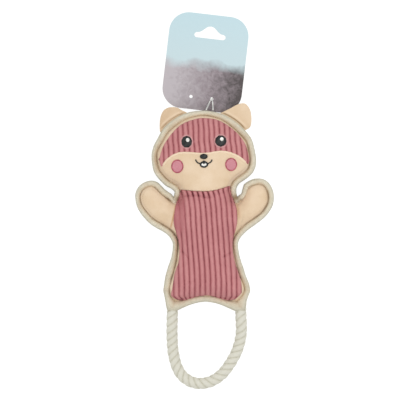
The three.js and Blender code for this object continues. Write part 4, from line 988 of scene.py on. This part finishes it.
def clothSurface(form, x, y, wale, edge, extra=0, spots=(), flattened=0):
    points = flatPoints(x, y)
    wobble = 0.085 * wander(points * (1, 0.7, 1), 15, 6.0) + 0.03 * wander(points, 4, 1.0)
    crest = mix(waleProfile(wale + wobble), 0.8, flattened)
    fuzz = 0.1 * wander(points, 0.9, 8.0) + 0.2 * wander(points, 3.1, 2.0)
    press, halo = np.zeros(len(x)), np.zeros(len(x))
    for spotX, spotY, halfWidth, halfHeight in spots:  # stitching presses the wales flat
        away = np.hypot((x - spotX) / (halfWidth + 1.2), (y - spotY) / (halfHeight + 1.2))
        press = np.maximum(press, 1 - smoothStep(0.85, 1.15, away))
        away = np.hypot((x - spotX) / halfWidth, (y - spotY) / halfHeight)
        halo = np.maximum(halo, 0.75 * bell((away - 1.1) / 0.13))
    rise = cordCloth["base"] + cordCloth["rib"] * crest * (1 - 0.55 * press) + fuzz * (1 - press)
    rise = mix(-0.5, rise + extra, edge)  # the edge turns down into the seam
    # the wale mark is darker where the edge turns down: painted shade
    return np.stack([x, y, coverHeight(form, x, y) + rise], axis=1), {
        "wale": crest * (0.35 + 0.65 * edge), "pressed": halo}


def patchPiece(name, across, along, place, node, body):
    piece = gridSkin(name, across, along, place, closed=False)
    modifier = piece.modifiers.new("clothThickness", "SOLIDIFY")
    modifier.thickness, modifier.offset, modifier.use_rim = cordCloth["thickness"] * mm, -1, True
    dress(piece, corduroy, "corduroy", [node], body=body, fill=0.7)


face = {  # stitched spots: x, y, half-width, half-height
    "eyes": {"left": (-19.0, 109.0, 5.3, 5.85), "right": (15.3, 109.9, 5.7, 5.65)},
    "glints": {"left": (-18.0, 110.8, 1.8, 1.95), "right": (16.3, 111.7, 1.8, 1.95)},
    "cheeks": {"left": (-28.4, 84.3, 6.1, 6.8), "right": (25.7, 86.2, 5.95, 6.6)},
    "nose": (-1.8, 94.2, 3.95, 2.75),
    "mouth": (-1.6, 86.2, 4.2, 3.25),
    "teeth": (-1.6, 85.95, 2.9, 1.75),
    "mouthNotch": (-1.6, 87.35, 0.85, 1.2),
    "mouthPeak": (-1.6, 89.1, 1.5, 1.0),
    "smiles": {"left": [(-10.1, 91.2), (-9.2, 89.3), (-7.8, 87.9), (-5.6, 86.9)],
               "right": [(6.6, 91.2), (5.8, 89.4), (4.5, 88.1), (2.4, 87.1)]},
}


def buildBelly():
    def place(u, v):
        bottom, top = follow(cordCloth["bellyBottom"], mix(-34.5, 36.7, u)), bellyTopAt(mix(-25, 25, u))
        y = mix(bottom, top, v)
        left, right = follow(cordCloth["bellyLeft"], y) - 0.8, follow(cordCloth["bellyRight"], y) + 0.8
        x = mix(left, right, u)
        gather = 1 - 0.12 * (1 - smoothStep(-51, -45.5, y)) * smoothStep(8, 24, np.abs(x))
        wale = (x - follow(cordCloth["bellyLean"], y)) / (cordCloth["pitch"] * gather)
        rim = np.minimum(np.minimum(x - left, right - x), np.minimum(y - bottom, top - y))
        crest, below = waleProfile(wale), top - y
        # a crease under the chin, deepest on the left, with the wales' ends standing up in knobs above it
        deep = np.maximum(smoothStep(13, -2, x), 0.3) * (0.8 + 0.2 * np.sin(x / 2.9 + 1)) * smoothStep(2.0, 7.0, rim)
        crease = bell((below - 5.9 - 1.1 * np.sin(x / 4.6 + 0.6)) / 0.9)
        pinch = -2.0 * crease * deep * (1.1 - 0.3 * crest) + 0.9 * bell((below - 3.2) / 1.7) * crest
        gathers = sum(amount * bell((x - at + 0.29 * (6 - below)) / 0.95) for at, amount in cordCloth["neckGatherShades"])
        gathers = gathers * bell((below - 4.2) / 2.4)
        # tucks at the waist, small folds above the hem and worn wales on the left of the chest
        tuckY = np.where(x < 0, -4.9 + 1.07 * (-x - 20), -5.4 + 0.54 * (x - 20))
        tuck = bell((y - tuckY) / 1.4) * smoothStep(15.5, 19, np.abs(x)) * smoothStep(0.6, 3, rim)
        hemFolds = -0.9 * bell((y - bottom - 3.6) / 1.3) * smoothStep(14, 27, np.abs(x))
        flank = smoothStep(-19.5, -23, x) * smoothStep(14, 24, y) * smoothStep(57, 50, y)
        points, marks = clothSurface("body", x, y, wale, smoothStep(0, cordCloth["turnedIn"], rim),
                                     extra=pinch - 1.2 * tuck + hemFolds, flattened=0.5 * flank)
        # painted shade: darker in the crease and the grooves above it, along the gathers, in the tucks and in the folds
        # above the hem
        shade = mix(marks["wale"], 0.55, 0.55 * flank) - 0.3 * (1 - crest) * smoothStep(6.5, 4.5, below)
        shade = shade - 0.18 * crease * deep - 0.55 * gathers - 0.32 * tuck * (1.2 - crest) + 0.25 * hemFolds
        marks["wale"] = np.clip(shade, 0, 1)
        return points, marks

    patchPiece("bellyCorduroy", 176, 190, place, "belly_corduroy", "torso")


def buildMask():
    start, end = cordCloth["maskX"]

    def place(u, v):
        x = mix(start, end, u)
        within = np.clip(x, -46.6, 43.9)
        low, high = follow(cordCloth["maskBottom"], within) - 0.3, follow(cordCloth["maskTop"], within) + 0.8
        y = mix(low, high, v)
        wale = (x - follow(cordCloth["maskLean"], y)) / cordCloth["maskPitch"]
        rim = np.minimum(high - y, np.minimum(x - start, end - x) * 1.5)
        gathers = -0.35 * bell(high - y - 2.6) * (0.5 + 0.5 * np.sin(x * 1.9))
        return clothSurface("head", x, y, wale, smoothStep(0, cordCloth["turnedIn"], rim), extra=gathers,
                            spots=face["eyes"].values())

    patchPiece("foreheadCorduroy", 206, 90, place, "forehead_corduroy", "head")


buildBelly()
buildMask()
print("corduroy made")


# the suede's edges at the muzzle and the chin, turned under and sewn over the corduroy
def turnedEdge(name, line, rise, shine, **rides):
    # a soft narrow roll, walked with the corduroy on its left
    line = evenLine(smoothLine(line, 300), 240)
    length = lineLength(line)

    def place(u, v):
        at, normal = readAlong(v, line, leftNormals(line))
        angle = u * turn
        ends = np.clip(np.minimum(v, 1 - v) * length / 3, 0, 1)
        steps = flatPoints(v * length, np.zeros(len(v)))
        across = -0.55 + 1.15 * np.cos(angle) + 0.3 * wander(steps, 3.5, 5.0)
        x, y = (at + normal * across[:, None]).T
        up = (1.0 + 0.15 * wander(steps, 3, 3.0)) * np.sin(angle)
        z = coverHeight("head", x, y) + (rise - 0.72 + up) * (0.4 + 0.6 * ends)
        return np.stack([x, y, z], axis=1), {"shine": np.clip(np.sin(angle), 0, 1) * shine}

    dress(gridSkin(name, 20, 240, place), suedeCover, "suede", fill=0.4, **rides)


turnedEdge("muzzleEdge", cordCloth["maskBottom"][2:-2], 2.5, 0.8, body="head")
turnedEdge("chinEdge", [(x, y + 0.3) for x, y in cordCloth["bellyTop"][::-1]], 2.1, 0, between=neckBend)


# the embroidery
def faceHeight(x, y):
    return coverHeight("head", x, y) + np.maximum(muzzleRise(x, y, edgeDistance(x, y)), 0)


def stitchedSpot(name, spot, lift, dome, thread, nodes=()):
    x0, y0, halfWidth, halfHeight = spot

    def place(u, v):
        angle, side = u * turn, v * 2 - 1
        share = 1 - np.abs(side) ** 1.2
        ripple = 1 + 0.02 * np.sin(angle * 9 + x0)
        x = x0 + halfWidth * share * np.cos(angle) * ripple
        y = y0 + halfHeight * share * np.sin(angle) * ripple
        bulge = np.sqrt(np.clip(1 - share ** 3, 0, 1)) * np.where(side >= 0, dome, -0.9)  # it goes into the cloth
        return np.stack([x, y, faceHeight(x, y) + lift + bulge], axis=1), {}

    dress(gridSkin(name, 48, 26, place), *threads[thread], nodes, body="head")


def stitchedLine(name, points, radius, lift, thread, nodes=(), isRing=False):
    flat = evenLine(smoothLine(points, 120), 60)
    line = np.column_stack([flat, faceHeight(*flat.T) + lift])

    def place(u, v):
        ends = np.ones(len(u)) if isRing else quarterRound(np.minimum(v, 1 - v) / 0.08)
        return tube(line, u, v, radius * ends, squash=0.8), {}

    dress(gridSkin(name, 12, 60, place), *threads[thread], nodes, body="head")


def stitchedRing(name, spot, inset, radius, lift, thread, nodes=()):
    x, y, halfWidth, halfHeight = spot
    points = arcPoints(x, y, halfWidth - inset, halfHeight - inset, 0, turn, 40)
    stitchedLine(name, points, radius, lift, thread, nodes, isRing=True)


def buildFace():
    for side in ("left", "right"):
        stitchedSpot("eye_" + side, face["eyes"][side], 1.5, 1.5, "black", ["eye_" + side])
        stitchedSpot("eyeGlint_" + side, face["glints"][side], 2.9, 0.55, "white", ["eye_glint_" + side])
    stitchedSpot("nose", face["nose"], 0.5, 1.6, "black", ["nose"])
    stitchedRing("mouthRing", face["mouth"], 0.75, 0.85, 0.45, "black", ["mouth"])
    stitchedSpot("teeth", face["teeth"], 0.1, 0.8, "white", ["teeth"])
    stitchedSpot("mouthNotch", face["mouthNotch"], 0.5, 0.8, "black")
    stitchedSpot("mouthPeak", face["mouthPeak"], 0.4, 0.7, "black")
    for side in ("left", "right"):
        stitchedLine("smile_" + side, face["smiles"][side], 0.66, 0.35, "black", ["smile_" + side])
    for side in ("left", "right"):
        x, y, halfWidth, halfHeight = face["cheeks"][side]
        stitchedSpot("cheek_" + side, (x, y, halfWidth - 0.4, halfHeight - 0.4), 0.1, 1.0, "felt", ["cheek_" + side])
        stitchedRing("cheekStitch_" + side, face["cheeks"][side], 0.55, 0.62, 0.55, "pink")


buildFace()
print("face made")


# the ears, each of one suede piece over its two plies
ears = {
    "left": {"from": 108.0, "to": 145.5, "pivot": (-34.3, 131.5), "outward": (-0.5797, 0.8148), "fold": 0.5,
             "free": [(-24.6, 141.6), (-29.0, 144.0), (-36.1, 144.2), (-41.3, 142.0), (-44.3, 137.9), (-45.9, 132.2),
                      (-46.4, 125.4)]},
    "right": {"from": 70.5, "to": 36.5, "pivot": (29.1, 131.6), "outward": (0.5763, 0.8172), "fold": 1.0,
              "free": [(24, 142.6), (32, 146.9), (38, 148.3), (41.8, 146.6), (45.2, 141), (46.4, 132.3),
                       (45.2, 124.5)]},
    "rootTuck": 3.6,  # mm that the root runs in under the rim
    "freeGap": 0.4,  # mm from the rim to where the free edge starts
    "halfThickness": 0.95,
    "z": 12.3,
    "bend": (-1.2, 2.6),  # mm from the pivot outwards, at the two ends of the span where the ear meets the head
}


def roundTheHead(out, start, end, count):
    return arcPoints(head["x"], head["y"], head["halfWidth"] + out, head["halfHeight"] + out,
                     math.radians(start), math.radians(end), count)


def buildEars():
    for name, material in (("left", shadedSuedeEar), ("right", suedeCover)):
        ear = ears[name]
        root = roundTheHead(-ears["rootTuck"], ear["to"], ear["from"], 12)
        first, last = roundTheHead(ears["freeGap"], ear["from"], ear["to"], 1)
        outline = evenLine(np.vstack([root, smoothLine([first, *ear["free"], last], 90), root[:1]]), 200)
        pivot, outward = np.array(ear["pivot"]), np.array(ear["outward"])
        middle = outline.mean(axis=0) + outward * 2

        def place(u, v):
            x, y, side, share, edge = cushion(outline, middle, u, v, 1.5)
            out = (x - pivot[0]) * outward[0] + (y - pivot[1]) * outward[1]
            thickness = ears["halfThickness"] * np.sqrt(np.clip(1 - share ** 6, 0, 1)) * (1 + 0.5 * (1 - share))
            fromRim = np.hypot((x - head["x"]) / head["halfWidth"], (y - head["y"]) / head["halfHeight"]) - 1
            fromRim = fromRim * (head["halfWidth"] + head["halfHeight"]) / 2
            crease = -0.9 * bell((fromRim - 1.3) / 0.7)
            within = smoothStep(0, 5, np.hypot(x - edge[:, 0], y - edge[:, 1]))
            lift = 0.5 * wander(flatPoints(x, y), 12, 3.0) + 0.25 * smoothStep(3, 14, out)
            z = ears["z"] + lift + np.where(side >= 0, thickness + crease * (1 - share ** 8), -thickness)
            # painted shade along the fold where the ear leaves the rim, as strong as the ear's fold value; a painted
            # highlight above it
            return np.stack([x, y, z], axis=1), {"cutEdge": ear["fold"] * bell((fromRim - 1.2) / 0.55) * within,
                                                 "shine": 0.55 * bell((fromRim - 3.2) / 1.2) * within}

        piece = gridSkin("ear_" + name, 200, 60, place)
        start, end = (tuple(np.append(pivot + outward * away, ears["z"]) * mm) for away in ears["bend"])
        dress(piece, material, "suede", ["ear_" + name + "_front", "ear_" + name + "_back"],
              between=("head", "ear_" + name, start, end), fill=0.2)


buildEars()
print("ears made")


# the card's tie, and the nodes that stay as they are
cardTie = {
    "radius": 0.72,
    "feet": {-1: (0.4, 141.35, 13.5), 1: (7.6, 141.35, 13.5)},
    "hole": (6.3, 152.9, 2.2),
    "holeGap": 0.6,
    "fall": (8.475, 4.35),  # heights at a third and at five sixths of the way to the hole
    "bow": [(1.7, 154.65, 0.95), (3.6, 157.0, 0.95), (1.9, 159.0, 0.95), (0, 156.6, 0.95)],  # from the hole's x
}
keptNodes = {"hang_card": printedCard, "squeaker_bulb": mouldedVinyl, "squeaker_reed": mouldedVinyl}


def buildTie():
    for name, side in (("left", -1), ("right", 1)):
        foot = np.array(cardTie["feet"][side])
        hole = np.array(cardTie["hole"]) + (side * cardTie["holeGap"], 0, 0)
        third, late = mix(foot, hole, 1 / 3), mix(foot, hole, 5 / 6)
        third[2], late[2] = cardTie["fall"]
        bow = [(hole[0] + side * (x - cardTie["holeGap"] * (x == 0)), y, z) for x, y, z in cardTie["bow"]]
        line = evenLine(smoothLine([foot, third, late, hole, *bow], 300), 150)

        def place(u, v):
            ends = np.clip(np.minimum(v, 1 - v) / 0.01, 0, 1)
            points = tube(line, u, v, cardTie["radius"] * (1 - 0.35 * smoothStep(0.42, 0.5, v)) * ends)
            points[:, 2] = np.maximum(points[:, 2], 0.1)
            return points, {}

        dress(gridSkin("cardTie_" + name, 12, 150, place), nylonTie, "nylon", ["card_tie"], body="card")


for node, material in keptNodes.items():
    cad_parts[node].data.materials.clear()
    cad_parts[node].data.materials.append(material)
buildTie()
print("card and inner pieces made")
